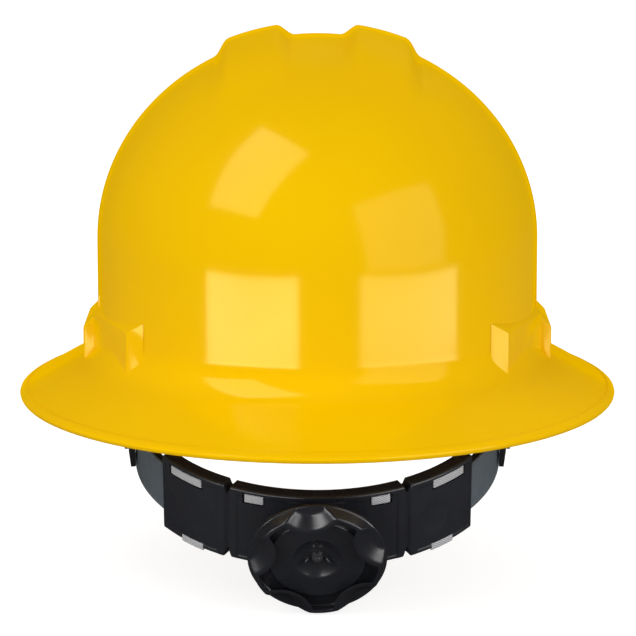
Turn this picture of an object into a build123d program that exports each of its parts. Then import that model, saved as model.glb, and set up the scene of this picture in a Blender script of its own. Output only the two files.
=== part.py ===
from build123d import *
from math import asin, atan2, cos, degrees, hypot, pi, radians, sin, tan
import os

os.makedirs("parts", exist_ok=True)

# Full brim hard hat, +Z up, +Y towards the wearer's face, +X to the wearer's right.
# The origin is the centre of the head opening, in the plane of the brim's edge.

# Shell, outer sizes
dome_half_width = 101.0
length_share = 1.1527
brim_reach = 36.5
brim_rise = 21.0
root_fillet = 18.0
dome_spring_height = 70.2
dome_cap_height = 92.6
shell_wall = 2.5
lip_width = 4.0
lip_thickness = 3.4
lip_rounding = 1.6
overrun = 5.0

# Crown ridges, two parallel ribs from back to front
ridge_foot_inner = 10.6
ridge_top_inner = 18.0
ridge_top_outer = 38.2
ridge_foot_outer = 47.6
ridge_height = 5.5
ridge_shorter = 20.0

# Suspension pockets at the four corners of the shell
pocket_facing = 26.0
pocket_inset = 3.39
pocket_slide = 0.31
pocket_slot = 2.9
pocket_width = 26.0
pocket_lip = 2.0
pocket_side = 4.0
pocket_bottom = 17.0
pocket_top = 37.5
boss_top = 43.0
boss_root_x_share = 0.7574
boss_root_y_share = 0.7564
boss_corner_x_share = 0.8356
boss_corner_y_share = 0.7149
boss_fade_x_share = 0.9871
boss_fade_y_share = 0.2475
boss_inside_x_share = 0.8515
boss_slope = 4.0
boss_shoulder = 38.0

# Accessory slots at the sides of the shell
side_slot = 4.7
side_slot_wall = 2.4
side_slot_length = 32.0
side_slot_depth = 15.0
side_boss_length = 46.0
side_boss_top = 38.0
side_boss_slope = 6.0
side_boss_proud = 5.7
side_boss_bottom = 15.5

# Headband ring: an egg of two circles in a plane that is lower at the back
ring_tilt = 18.0
ring_height = -11.2
ring_inset = 21.0
ring_back_centre_share = 0.425
ring_front_radius_share = 0.69625
ring_front_centre_share = 0.5125
band_top = 18.5
band_bottom = 5.0
band_thickness = 1.6
slide_gap = 0.3
band_end_turn = 0.2

# Racks, the toothed ends of the rear band
rack_thickness = 2.0
rack_edge = 8.3
rack_strip_end = 57.0
rack_tip_angle = 15.8
rack_wide_angle = 41.5
rack_end_angle = 95.0
tooth_pitch_radius = 5.0
pinion_teeth = 8
tooth_height_up = 1.0
tooth_height_down = 1.5
mesh_clearance = 0.4
rack_teeth_each_way = 6
pressure_angle = 20.0

# Nape housing
wing_angle = 54.8
hinge_angle = 28.2
cover_wall = 2.5
plate_thickness = 1.8
plate_gap = 0.1
cover_top_flange = 4.9
cover_bottom_flange = 4.8
centre_top = 23.5
centre_bottom = 12.8
hinge_groove = 0.9
hinge_groove_width = 2.4
hinge_notch = 4.0
window_depth = 1.5
window_height = 4.2
window_below_edge = 2.2
wing_window_from = 37.5
wing_window_to = 50.5
centre_window_from = 16.3
centre_window_to = 22.4
tab_thickness = 1.0
tab_gap = 0.1
low_tab_from = 37.0
low_tab_to = 46.0
low_tab_drop = 0.9
low_notch_height = 2.6

# Knob and ratchet, measured along the knob's axis from the pinion's middle
knob_tilt = 28.0
knob_flange_radius = 30.3
knob_flange_back = 10.4
knob_flange_thickness = 2.0
knob_front = 17.2
knob_front_radius = 28.1
knob_lobes = 5
knob_wall = 2.0
scallop_front_reach = 20.2
scallop_back_reach = 26.3
scallop_distance = 34.0
floor_disc_radius = 21.3
floor_disc_rise = 0.7
well_radius = 10.6
well_bottom_radius = 5.5
hub_radius = 9.0
hub_back = 9.0
knob_first_lobe = 60.0
spoke_width = 1.6
spoke_count = 3
spoke_height = 1.6
spoke_root = 1.5
well_floor = 0.8
screw_boss_radius = 3.2
boss_radius = 21.0
boss_front = 9.8
ratchet_floor = 4.6
ratchet_pocket_radius = 15.2
ratchet_ring_radius = 15.0
ratchet_root_radius = 13.2
ratchet_tip_radius = 12.3
ratchet_teeth = 36
ratchet_thickness = 3.6
ratchet_overlap = 0.3
pawl_plate_thickness = 2.4
pawl_hub_radius = 6.4
pawl_width = 3.0
pawl_reach = 11.9
pawl_count = 3
shaft_radius = 3.5
running_gap = 0.06
pinion_back = -1.3
pinion_front = 1.5
pinion_room = 6.6
screw_head_radius = 2.4
screw_head_thickness = 1.3
screw_radius = 1.25
screw_length = 8.0
screw_socket = 0.7
screw_end_gap = 0.5

# Suspension
strap_width = 20.0
strap_thickness = 1.4
strap_inset = 6.75
strap_spring = 28.0
strap_end = 3.0
strap_gap = 1.1
patch_size = 24.0
patch_thickness = 1.2
key_clearance = 0.2
key_foot_back = -1.0
key_foot_drop = 13.6
strap_bar_bottom = 3.0
strap_bar_top = 8.0
bar_gap = 0.3
arm_width = 14.0
arm_thickness = 2.2
arm_gap = 0.5
arm_slot_travel = 5.0
arm_slot_margin = 0.3
back_arm_angle = 83.0
front_arm_share = 0.8
back_arm_cover = 1.745
front_arm_rise = 8.0
arm_drop = 10.7
tongue_height = 3.5
stud_height = 10.0
stud_radius = 2.3
stud_head_radius = 4.6
stud_head_thickness = 1.8

# Pads
nape_pad_thickness = 6.0
nape_pad_angle = 51.0
nape_pad_top = 20.0
nape_pad_bottom = 12.0
brow_pad_thickness = 5.0
brow_pad_back = 10.0
brow_pad_top = 17.5
brow_pad_bottom = 9.0
pad_gap = 0.3

# Sizes that follow others
brim_half_width = dome_half_width + brim_reach
ring_back_radius = dome_half_width - ring_inset
ring_back_centre = -ring_back_centre_share * ring_back_radius
ring_front_radius = ring_front_radius_share * ring_back_radius
ring_front_centre = ring_front_centre_share * ring_back_radius
dome_half_length = dome_half_width * length_share
facing_cos = cos(radians(pocket_facing))
facing_sin = sin(radians(pocket_facing))
pocket_reach = hypot(dome_half_width * facing_cos, dome_half_length * facing_sin)
pocket_seat = pocket_reach - pocket_inset
pocket_run = (dome_half_length**2 - dome_half_width**2) * facing_sin * facing_cos / pocket_reach
pocket_along = pocket_run + pocket_slide
strap_reach = pocket_seat - strap_inset

# Frames
ring_plane = Plane(
    origin=(0, 0, ring_height),
    x_dir=(1, 0, 0),
    z_dir=(0, -sin(radians(ring_tilt)), cos(radians(ring_tilt))),
)
rack_rear = ring_plane.from_local_coords(Vector(0, ring_back_centre - ring_back_radius, 0))
knob_plane = Plane(
    origin=rack_rear,
    x_dir=(1, 0, 0),
    z_dir=(0, -cos(radians(knob_tilt)), -sin(radians(knob_tilt))),
)
rack_in = ring_back_radius - rack_thickness / 2
rack_out = ring_back_radius + rack_thickness / 2
cover_in = rack_out + slide_gap
cover_out = cover_in + cover_wall
plate_out = rack_in - slide_gap
plate_in = plate_out - plate_thickness
band_in = rack_out + slide_gap - ring_back_radius
band_out = band_in + band_thickness
channel_top = band_top + slide_gap
channel_bottom = rack_edge + slide_gap
wing_top = channel_top + cover_top_flange
wing_bottom = channel_bottom + cover_bottom_flange
ring_lead = asin((ring_back_radius - ring_front_radius) / (ring_front_centre - ring_back_centre))


def ring_point(radius: float, angle: float, side: int = 1) -> tuple[float, float]:
    """A point of the ring's rear circle, angle degrees away from the nape."""
    turn = radians(angle)
    return (side * radius * sin(turn), ring_back_centre - radius * cos(turn))


def sector(radius_in: float, radius_out: float, start: float, end: float) -> Sketch:
    """A sector of the ring's rear circle, angles in degrees from the nape towards +X."""
    middle = (start + end) / 2
    with BuildSketch() as shape:
        with BuildLine():
            outer = ThreePointArc(*(ring_point(radius_out, a) for a in (start, middle, end)))
            inner = ThreePointArc(*(ring_point(radius_in, a) for a in (start, middle, end)))
            Line(outer @ 0, inner @ 0)
            Line(outer @ 1, inner @ 1)
        make_face()
    return shape.sketch


def egg(grow: float) -> Sketch:
    """The whole ring outline, grow outside the racks' middle line."""
    back = ring_back_radius + grow
    front = ring_front_radius + grow
    lead = degrees(ring_lead)
    with BuildSketch() as shape:
        with BuildLine():
            rear = CenterArc((0, ring_back_centre), back, 180 - lead, 180 + 2 * lead)
            fore = CenterArc((0, ring_front_centre), front, lead, 180 - 2 * lead)
            Line(rear @ 1, fore @ 0)
            Line(fore @ 1, rear @ 0)
        make_face()
    return shape.sketch


# Shell: turned on its width, then stretched to its length
slope = atan2(brim_rise, brim_half_width - dome_half_width)
inner_half_width = dome_half_width - shell_wall
inner_root_height = brim_rise + shell_wall * (sin(slope) - 1) / cos(slope)
under_x = brim_half_width - shell_wall * sin(slope)
under_z = -shell_wall * cos(slope)
lip_half = lip_width / 2
lip_x = under_x - lip_half * cos(slope)
lip_z = under_z + lip_half * sin(slope)
lip_centre = ((lip_x + brim_half_width - lip_half * cos(slope)) / 2, (lip_z + lip_half * sin(slope)) / 2)

with BuildPart() as dome:
    with BuildSketch(Plane.XZ):
        with BuildLine():
            brim_top = FilletPolyline(
                (brim_half_width - lip_half * cos(slope), lip_half * sin(slope)),
                (dome_half_width, brim_rise),
                (dome_half_width, dome_spring_height),
                radius=root_fillet,
            )
            cap = EllipticalCenterArc(
                (0, dome_spring_height), dome_half_width, dome_cap_height, 0, arc_size=90
            )
            Line(cap @ 1, (0, under_z - overrun))
            Line((0, under_z - overrun), (lip_x, under_z - overrun))
            Line((lip_x, under_z - overrun), (lip_x, lip_z))
            Line((lip_x, lip_z), brim_top @ 0)
        make_face()
    revolve(axis=Axis.Z)

with BuildPart() as hollow:
    with BuildSketch(Plane.XZ):
        with BuildLine():
            brim_under = FilletPolyline(
                (under_x + overrun * cos(slope), under_z - overrun * sin(slope)),
                (inner_half_width, inner_root_height),
                (inner_half_width, dome_spring_height),
                radius=root_fillet + shell_wall,
            )
            cap = EllipticalCenterArc(
                (0, dome_spring_height), inner_half_width, dome_cap_height - shell_wall, 0, arc_size=90
            )
            Line(cap @ 1, (0, under_z - 2 * overrun))
            Line((0, under_z - 2 * overrun), (under_x + overrun * cos(slope), under_z - 2 * overrun))
            Line(
                (under_x + overrun * cos(slope), under_z - 2 * overrun),
                (under_x + overrun * cos(slope), under_z - overrun * sin(slope)),
            )
        make_face()
    revolve(axis=Axis.Z)


with BuildPart() as lip:
    with BuildSketch(Plane.XZ):
        with Locations(lip_centre):
            RectangleRounded(lip_width, lip_thickness, lip_rounding, rotation=-degrees(slope))
    revolve(axis=Axis.Z)


def ridge_block(shrink: float) -> Part:
    """The two crown ridges, or with a shrink their hollow underside."""
    top_radius = dome_half_width + ridge_height - shrink
    top_half_length = dome_half_width - (ridge_shorter + shrink) / length_share
    top_height = dome_cap_height + ridge_height - shrink
    crown = dome_spring_height + dome_cap_height
    with BuildPart(mode=Mode.PRIVATE) as block:
        with BuildSketch(Plane.XZ):
            with BuildLine():
                Polyline(
                    (ridge_foot_inner + shrink, dome_spring_height),
                    (ridge_foot_inner + shrink, crown - 2 * ridge_height),
                    (ridge_top_inner + shrink, crown + 2 * ridge_height),
                    (ridge_top_outer - shrink, crown + 2 * ridge_height),
                    (ridge_foot_outer - shrink, crown - 4 * ridge_height),
                    (ridge_foot_outer - shrink, dome_spring_height),
                    close=True,
                )
            make_face()
        extrude(amount=dome_half_width, both=True)
        mirror(about=Plane.YZ)
    with BuildPart(mode=Mode.PRIVATE) as cap_body:
        with BuildSketch(Plane.XZ):
            with BuildLine():
                cap = EllipticalCenterArc((0, dome_spring_height), top_radius, top_height, 0, arc_size=90)
                Polyline(cap @ 1, (0, dome_spring_height), cap @ 0)
            make_face()
        revolve(axis=Axis.Z)
    with BuildPart(mode=Mode.PRIVATE) as arch:
        with BuildSketch(Plane.YZ):
            with Locations((0, dome_spring_height)):
                Ellipse(top_half_length, top_height)
        extrude(amount=dome_half_width, both=True)
    return block.part & cap_body.part & arch.part


corners = [(1, -1), (-1, -1), (1, 1), (-1, 1)]


def pocket_plane(side: int, end: int) -> Plane:
    """The frame of one pocket: local X runs along the wall, local Y points outwards, local Z is up."""
    turn = radians(pocket_facing)
    outward = Vector(side * cos(turn), end * sin(turn), 0)
    along = outward.rotate(Axis.Z, -90)
    slide = -side * end * pocket_along
    return Plane(origin=outward * pocket_seat + along * slide, x_dir=along, z_dir=(0, 0, 1))


def squeezed(points: list[tuple[float, float]]) -> list[tuple[float, float]]:
    """Points that land in their places once the shell is stretched."""
    return [(x, y / length_share) for x, y in points]


def pocket_outline(side: int, end: int, width: float, near: float, far: float) -> list[tuple[float, float]]:
    """A rectangle in a pocket's frame, before the shell is stretched."""
    frame = pocket_plane(side, end)
    spots = ((-width / 2, near), (width / 2, near), (width / 2, far), (-width / 2, far))
    places = [frame.from_local_coords(Vector(x, y, 0)) for x, y in spots]
    return squeezed([(place.X, place.Y) for place in places])


def boss_outline(side: int, end: int, inward: float) -> list[tuple[float, float]]:
    """The outline of a corner boss, before the shell is stretched."""
    fade = end * boss_fade_y_share * dome_half_width
    return squeezed(
        [
            (
                side * (boss_root_x_share * dome_half_width - inward),
                end * (boss_root_y_share * dome_half_width - inward),
            ),
            (
                side * (boss_corner_x_share * dome_half_width - inward),
                end * (boss_corner_y_share * dome_half_width - inward),
            ),
            (side * (boss_fade_x_share * dome_half_width - inward), fade),
            (side * boss_inside_x_share * dome_half_width, fade),
        ]
    )


with BuildPart() as shell:
    add(dome.part)
    add(ridge_block(0))
    # corner bosses, with a sloped top
    for side, end in corners:
        for low, high, sink in ((pocket_bottom, boss_shoulder, 0), (boss_shoulder, boss_top, boss_slope)):
            for level, inward in ((low, 0), (high, sink)):
                with BuildSketch(Plane.XY.offset(level)):
                    with BuildLine():
                        Polyline(*boss_outline(side, end, inward), close=True)
                    make_face()
            loft()
    # side bosses, with a sloped top
    boss_face = dome_half_width + side_boss_proud
    for side in (1, -1):
        with BuildSketch(Plane.XZ):
            with BuildLine():
                Polyline(
                    (side * inner_half_width, side_boss_bottom),
                    (side * boss_face, side_boss_bottom),
                    (side * boss_face, side_boss_top - side_boss_slope),
                    (side * (boss_face - side_boss_slope), side_boss_top),
                    (side * inner_half_width, side_boss_top),
                    close=True,
                )
            make_face()
        extrude(amount=side_boss_length / 2 / length_share, both=True)
    # the hollow under the shell and its ridges
    add(hollow.part, mode=Mode.SUBTRACT)
    add(ridge_block(shell_wall), mode=Mode.SUBTRACT)
    add(lip.part)
    # inner walls of the pockets, with their slots
    for side, end in corners:
        for outline, low, high, mode in (
            (
                pocket_outline(side, end, pocket_width + 2 * pocket_side, -pocket_slot / 2 - pocket_lip, 0),
                pocket_bottom,
                pocket_top + pocket_side,
                Mode.ADD,
            ),
            (
                pocket_outline(side, end, pocket_width, -pocket_slot / 2, pocket_slot / 2),
                pocket_bottom - overrun,
                pocket_top,
                Mode.SUBTRACT,
            ),
        ):
            with BuildSketch(Plane.XY.offset(low)):
                with BuildLine():
                    Polyline(*outline, close=True)
                make_face()
            extrude(amount=high - low, mode=mode)
    # inner walls of the side slots, with the slots
    slot_out = dome_half_width + side_boss_proud - side_slot_wall
    slot_in = slot_out - side_slot
    for side in (1, -1):
        with BuildSketch(Plane.XY.offset(side_boss_bottom)):
            with Locations((side * (slot_in - side_slot_wall / 2), 0)):
                Rectangle(side_slot_wall, side_boss_length / length_share)
        extrude(amount=2 * side_slot_depth)
        with BuildSketch(Plane.XY.offset(side_boss_bottom - overrun)):
            with Locations((side * (slot_in + slot_out) / 2, 0)):
                Rectangle(side_slot, side_slot_length / length_share)
        extrude(amount=side_slot_depth + overrun, mode=Mode.SUBTRACT)
    scale(by=(1, length_share, 1))
shell.part.label = "shell"
print("shell", len(shell.part.solids()), shell.part.volume)
export_step(shell.part, "parts/shell.step")

# Crown straps: U shapes in the upright planes through opposite pockets
pocket_x = pocket_seat * facing_cos - pocket_along * facing_sin
pocket_y = pocket_seat * facing_sin + pocket_along * facing_cos
strap_heading = degrees(atan2(pocket_y, pocket_x))


def strap_profile(lift: float) -> Sketch:
    """One crown strap from end to end, lifted where it crosses the other."""
    spring = strap_spring + lift
    outer = strap_reach + strap_thickness / 2
    inner = strap_reach - strap_thickness / 2
    with BuildSketch() as shape:
        with BuildLine():
            over = ThreePointArc((-outer, spring), (0, spring + outer), (outer, spring))
            under = ThreePointArc((-inner, spring), (0, spring + inner), (inner, spring))
            Polyline(over @ 0, (-outer, strap_end), (-inner, strap_end), under @ 0)
            Polyline(over @ 1, (outer, strap_end), (inner, strap_end), under @ 1)
        make_face()
    return shape.sketch


def upright_plane(heading: float) -> Plane:
    """The upright plane through the origin whose local X points heading degrees from +X."""
    turn = radians(heading)
    return Plane(origin=(0, 0, 0), x_dir=(cos(turn), sin(turn), 0), z_dir=(sin(turn), -cos(turn), 0))


strap_lift = strap_thickness + strap_gap
with BuildPart() as crown_strap_upper:
    with BuildSketch(upright_plane(strap_heading)):
        add(strap_profile(strap_lift))
    extrude(amount=strap_width / 2, both=True)
crown_strap_upper.part.label = "crown_strap_upper"
export_step(crown_strap_upper.part, "parts/crown_strap_upper.step")

with BuildPart() as crown_strap_lower:
    with BuildSketch(upright_plane(-strap_heading)):
        add(strap_profile(0))
    extrude(amount=strap_width / 2, both=True)
crown_strap_lower.part.label = "crown_strap_lower"
export_step(crown_strap_lower.part, "parts/crown_strap_lower.step")

patch_height = strap_spring + strap_lift + strap_reach + strap_thickness / 2 + tab_gap
with BuildPart() as crown_patch:
    with BuildSketch(Plane.XY.offset(patch_height)):
        RectangleRounded(patch_size, patch_size, strap_thickness)
    extrude(amount=patch_thickness)
crown_patch.part.label = "crown_patch"
export_step(crown_patch.part, "parts/crown_patch.step")

# Where the hanger arms stand: tangent to the headband, in the ring's plane
band_face = ring_back_radius + band_out
front_face = ring_front_radius + band_out
back_arm = ring_point(band_face, back_arm_angle)
side_start = (band_face * cos(ring_lead), ring_back_centre + band_face * sin(ring_lead))
side_end = (front_face * cos(ring_lead), ring_front_centre + front_face * sin(ring_lead))
front_arm = tuple(a + (b - a) * front_arm_share for a, b in zip(side_start, side_end))
back_normal = (sin(radians(back_arm_angle)), -cos(radians(back_arm_angle)))
front_normal = (cos(ring_lead), sin(ring_lead))


def arm_plane(side: int, end: int) -> Plane:
    """The frame of a hanger arm: local X along the band, local Y up the ring's axis, local Z outwards."""
    spot, normal = (back_arm, back_normal) if end < 0 else (front_arm, front_normal)
    origin = ring_plane.from_local_coords(Vector(side * spot[0], spot[1], stud_height))
    outward = ring_plane.from_local_coords(Vector(side * normal[0], normal[1], 0)) - ring_plane.origin
    return Plane(origin=origin, x_dir=ring_plane.z_dir.cross(outward), z_dir=outward)


slot_half = stud_radius + arm_slot_margin
for side, end in corners:
    name = f"key_{'rear' if end < 0 else 'front'}_{'right' if side > 0 else 'left'}"
    frame = pocket_plane(side, end)
    arm = arm_plane(side, end)
    foot = key_foot_back if end < 0 else arm.origin.Z - key_foot_drop
    plate = pocket_slot - 2 * key_clearance
    blade = pocket_width - 2 * key_clearance
    with BuildPart() as key:
        # the blade in the pocket, and its foot below the shell
        with BuildSketch(frame.offset(foot)):
            Rectangle(blade, plate)
        extrude(amount=pocket_top - key_clearance - foot)
        # the bar that the crown strap is sewn round
        bar_start = strap_reach + strap_thickness / 2 + bar_gap
        bar_reach = hypot(pocket_x, pocket_y) - bar_start
        heading = Vector(side * pocket_x, end * pocket_y, 0)
        with BuildSketch(Plane(origin=(0, 0, strap_bar_bottom), x_dir=heading, z_dir=(0, 0, 1))):
            with Locations((bar_start + bar_reach / 2, 0)):
                Rectangle(bar_reach, strap_width)
        extrude(amount=strap_bar_top - strap_bar_bottom)
        # the hanger arm beside the headband
        up = (foot - arm.origin.Z) / cos(radians(ring_tilt)) if end < 0 else -arm_drop
        rise = up + back_arm_cover if end < 0 else front_arm_rise
        with BuildSketch(arm.offset(arm_gap)):
            with Locations((0, (rise - arm_drop) / 2)):
                Rectangle(arm_width, rise + arm_drop)
        extrude(amount=arm_thickness)
        # the tongue from the foot to the arm
        start = frame.from_local_coords(Vector(0, 0, foot))
        reach = arm.from_local_coords(Vector(0, up, arm_gap + arm_thickness / 2))
        run = Vector(reach.X - start.X, reach.Y - start.Y, 0)
        with BuildSketch(Plane(origin=start, x_dir=run, z_dir=(0, 0, 1))):
            with Locations((run.length / 2, 0)):
                Rectangle(run.length, arm_width)
        extrude(amount=tongue_height)
        with BuildSketch(arm.offset(-arm_gap)):
            SlotCenterToCenter(2 * arm_slot_travel, 2 * slot_half, rotation=90)
        extrude(amount=2 * arm_gap + 2 * arm_thickness, mode=Mode.SUBTRACT)
    key.part.label = name
    print(name, len(key.part.solids()), key.part.volume)
    export_step(key.part, f"parts/{name}.step")

# Headband: the band from wing to wing round the brow
with BuildPart() as headband:
    with BuildSketch(ring_plane.offset(-band_bottom)):
        add(egg(band_out))
        add(egg(band_in), mode=Mode.SUBTRACT)
        with BuildSketch(mode=Mode.PRIVATE) as rear:
            with BuildLine():
                left = ring_point(2 * ring_back_radius, wing_angle + band_end_turn, -1)
                right = ring_point(2 * ring_back_radius, wing_angle + band_end_turn)
                Polyline(
                    (0, ring_back_centre),
                    left,
                    (left[0], left[1] - ring_back_radius),
                    (right[0], right[1] - ring_back_radius),
                    right,
                    close=True,
                )
            make_face()
        add(rear.sketch, mode=Mode.SUBTRACT)
    extrude(amount=band_bottom + band_top)
headband.part.label = "headband"
print("headband", len(headband.part.solids()), headband.part.volume)
export_step(headband.part, "parts/headband.step")

with BuildPart() as height_studs:
    for side, end in corners:
        arm = arm_plane(side, end)
        with BuildSketch(arm):
            Circle(stud_radius)
        extrude(amount=2 * arm_gap + arm_thickness)
        with BuildSketch(arm.offset(2 * arm_gap + arm_thickness)):
            Circle(stud_head_radius)
        extrude(amount=stud_head_thickness)
height_studs.part.label = "height_studs"
export_step(height_studs.part, "parts/height_studs.step")

# Brow pad inside the front of the headband
with BuildPart() as brow_pad:
    with BuildSketch(ring_plane.offset(-brow_pad_bottom)):
        add(egg(band_in - pad_gap))
        add(egg(band_in - pad_gap - brow_pad_thickness), mode=Mode.SUBTRACT)
        with BuildSketch(mode=Mode.PRIVATE) as behind:
            with Locations((0, brow_pad_back - ring_back_radius)):
                Rectangle(4 * ring_back_radius, 2 * ring_back_radius)
        add(behind.sketch, mode=Mode.SUBTRACT)
    extrude(amount=brow_pad_bottom + brow_pad_top)
brow_pad.part.label = "brow_pad"
print("brow_pad", len(brow_pad.part.solids()), brow_pad.part.volume)
export_step(brow_pad.part, "parts/brow_pad.step")

# Nape cover: a curved channel over the racks, with a round boss for the ratchet
with BuildPart() as nape_cover:
    with BuildSketch(ring_plane.offset(-wing_bottom)):
        add(sector(plate_in, cover_out, -wing_angle, wing_angle))
    extrude(amount=wing_bottom + wing_top)
    with BuildSketch(ring_plane.offset(-centre_bottom)):
        add(sector(plate_in, cover_out, -hinge_angle, hinge_angle))
    extrude(amount=centre_bottom + centre_top)
    with BuildSketch(knob_plane):
        Circle(boss_radius)
    extrude(amount=boss_front)
    # the channel, open to the inside
    with BuildSketch(ring_plane.offset(-channel_bottom)):
        add(sector(plate_in - 2 * overrun, cover_in, -wing_angle - hinge_notch, wing_angle + hinge_notch))
    extrude(amount=channel_bottom + channel_top, mode=Mode.SUBTRACT)
    # what the boss adds inside the back face
    with BuildSketch(ring_plane.offset(-centre_bottom - overrun)):
        add(sector(plate_in - 3 * overrun, plate_in, -hinge_angle, hinge_angle))
    extrude(amount=centre_bottom + centre_top + 2 * overrun, mode=Mode.SUBTRACT)
    # the ratchet pocket and the shaft's bearing
    with BuildSketch(knob_plane.offset(ratchet_floor)):
        Circle(ratchet_pocket_radius)
    extrude(amount=boss_front, mode=Mode.SUBTRACT)
    with BuildSketch(knob_plane.offset(-overrun)):
        Circle(shaft_radius + running_gap)
    extrude(amount=ratchet_floor + 2 * overrun, mode=Mode.SUBTRACT)
    # room for the pinion
    with BuildSketch(knob_plane.offset(-overrun)):
        Circle(pinion_room)
    extrude(amount=overrun + pinion_front + slide_gap, mode=Mode.SUBTRACT)
    # living hinges: a groove down the face, notches at both ends
    for side in (1, -1):
        spot = ring_plane.from_local_coords(Vector(*ring_point(cover_out, hinge_angle, side), 0))
        centre = ring_plane.from_local_coords(Vector(0, ring_back_centre, 0))
        groove = Plane(origin=spot, x_dir=ring_plane.z_dir, z_dir=spot - centre)
        with BuildSketch(groove.offset(-hinge_groove)):
            Rectangle(4 * centre_bottom, hinge_groove_width)
        extrude(amount=overrun, mode=Mode.SUBTRACT)
        with BuildSketch(groove.offset(-2 * overrun)):
            for level, point in ((centre_top, 1), (-centre_bottom, -1)):
                with BuildLine():
                    Polyline(
                        (level - point * hinge_notch, 0),
                        (level + point * hinge_notch, hinge_notch),
                        (level + point * hinge_notch, -hinge_notch),
                        close=True,
                    )
                make_face()
        extrude(amount=3 * overrun, mode=Mode.SUBTRACT)
    # shallow windows along the upper edge
    for start, end, top in (
        (wing_window_from, wing_window_to, wing_top),
        (centre_window_from, centre_window_to, centre_top),
    ):
        for side in (1, -1):
            with BuildSketch(ring_plane.offset(top - window_below_edge - window_height)):
                add(sector(cover_out - window_depth, cover_out + overrun, side * start, side * end))
            extrude(amount=window_height, mode=Mode.SUBTRACT)
    # open notches along the wings' lower edge
    for side in (1, -1):
        with BuildSketch(ring_plane.offset(-wing_bottom - overrun)):
            add(sector(cover_out - window_depth, cover_out + overrun, side * low_tab_from, side * low_tab_to))
        extrude(amount=overrun + low_notch_height, mode=Mode.SUBTRACT)
nape_cover.part.label = "nape_cover"
print("nape_cover", len(nape_cover.part.solids()), nape_cover.part.volume)
export_step(nape_cover.part, "parts/nape_cover.step")

with BuildPart() as nape_back_plate:
    with BuildSketch(ring_plane.offset(plate_gap - channel_bottom)):
        add(sector(plate_in, plate_out, -wing_angle, wing_angle))
    extrude(amount=channel_bottom + channel_top - 2 * plate_gap)
    with BuildSketch(knob_plane.offset(-2 * overrun)):
        Circle(pinion_room)
    extrude(amount=2 * overrun, mode=Mode.SUBTRACT)
nape_back_plate.part.label = "nape_back_plate"
export_step(nape_back_plate.part, "parts/nape_back_plate.step")

# Nape pad on the back plate, and the fabric tabs that hold it
with BuildPart() as nape_pad:
    pad_out = plate_in - pad_gap
    with BuildSketch(ring_plane.offset(-nape_pad_bottom)):
        add(sector(pad_out - nape_pad_thickness, pad_out, -nape_pad_angle, nape_pad_angle))
    extrude(amount=nape_pad_bottom + nape_pad_top)
nape_pad.part.label = "nape_pad"
export_step(nape_pad.part, "parts/nape_pad.step")

with BuildPart() as pad_tabs:
    gap_turn = degrees(tab_gap / cover_out)
    tab_in = cover_out - window_depth + tab_gap
    for start, end, top in (
        (wing_window_from, wing_window_to, wing_top),
        (centre_window_from, centre_window_to, centre_top),
    ):
        for side in (1, -1):
            with BuildSketch(ring_plane.offset(top - window_below_edge - window_height + tab_gap)):
                tab_out = tab_in + tab_thickness
                add(sector(tab_in, tab_out, side * (start + gap_turn), side * (end - gap_turn)))
            extrude(amount=window_height - 2 * tab_gap)
    for side in (1, -1):
        with BuildSketch(ring_plane.offset(-wing_bottom - low_tab_drop)):
            start, end = low_tab_from + gap_turn, low_tab_to - gap_turn
            add(sector(tab_in, tab_in + tab_thickness, side * start, side * end))
        extrude(amount=low_tab_drop + low_notch_height - tab_gap)
pad_tabs.part.label = "pad_tabs"
export_step(pad_tabs.part, "parts/pad_tabs.step")

# Racks: a narrow toothed strip that widens into the rear band
tooth_pitch = 2 * pi * tooth_pitch_radius / pinion_teeth
tooth_turn = degrees(tooth_pitch / ring_back_radius)
rack_tip_line = tooth_pitch_radius - tooth_height_up
rack_root_line = tooth_pitch_radius + tooth_height_down
tooth_lean = tan(radians(pressure_angle))
mouth_half = tooth_pitch / 4 + tooth_height_up * tooth_lean + mesh_clearance
gap_root_half = tooth_pitch / 4 - tooth_height_down * tooth_lean + mesh_clearance
for side, name in ((-1, "rack_left"), (1, "rack_right")):
    upper = -side
    with BuildPart() as rack:
        with BuildSketch(ring_plane.offset(rack_tip_line if upper > 0 else -rack_edge)):
            add(sector(rack_in, rack_out, -side * rack_tip_angle, side * rack_strip_end))
        extrude(amount=rack_edge - rack_tip_line)
        with BuildSketch(ring_plane.offset(-band_bottom)):
            add(sector(rack_in, rack_out, side * rack_wide_angle, side * rack_end_angle))
        extrude(amount=band_bottom + band_top)
        for tooth in range(-rack_teeth_each_way, rack_teeth_each_way + 1):
            turn = radians(tooth * tooth_turn)
            outward = Vector(sin(turn), -cos(turn), 0)
            middle = Vector(0, ring_back_centre, 0)
            foot = ring_plane.from_local_coords(middle + outward * (rack_in - overrun))
            heading = ring_plane.from_local_coords(outward) - ring_plane.origin
            with BuildSketch(Plane(origin=foot, x_dir=ring_plane.z_dir.cross(heading), z_dir=heading)):
                with BuildLine():
                    Polyline(
                        (-mouth_half, upper * rack_tip_line),
                        (-gap_root_half, upper * rack_root_line),
                        (gap_root_half, upper * rack_root_line),
                        (mouth_half, upper * rack_tip_line),
                        close=True,
                    )
                make_face()
            extrude(amount=rack_thickness + 2 * overrun, mode=Mode.SUBTRACT)
    rack.part.label = name
    print(name, len(rack.part.solids()), rack.part.volume)
    export_step(rack.part, f"parts/{name}.step")

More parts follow.
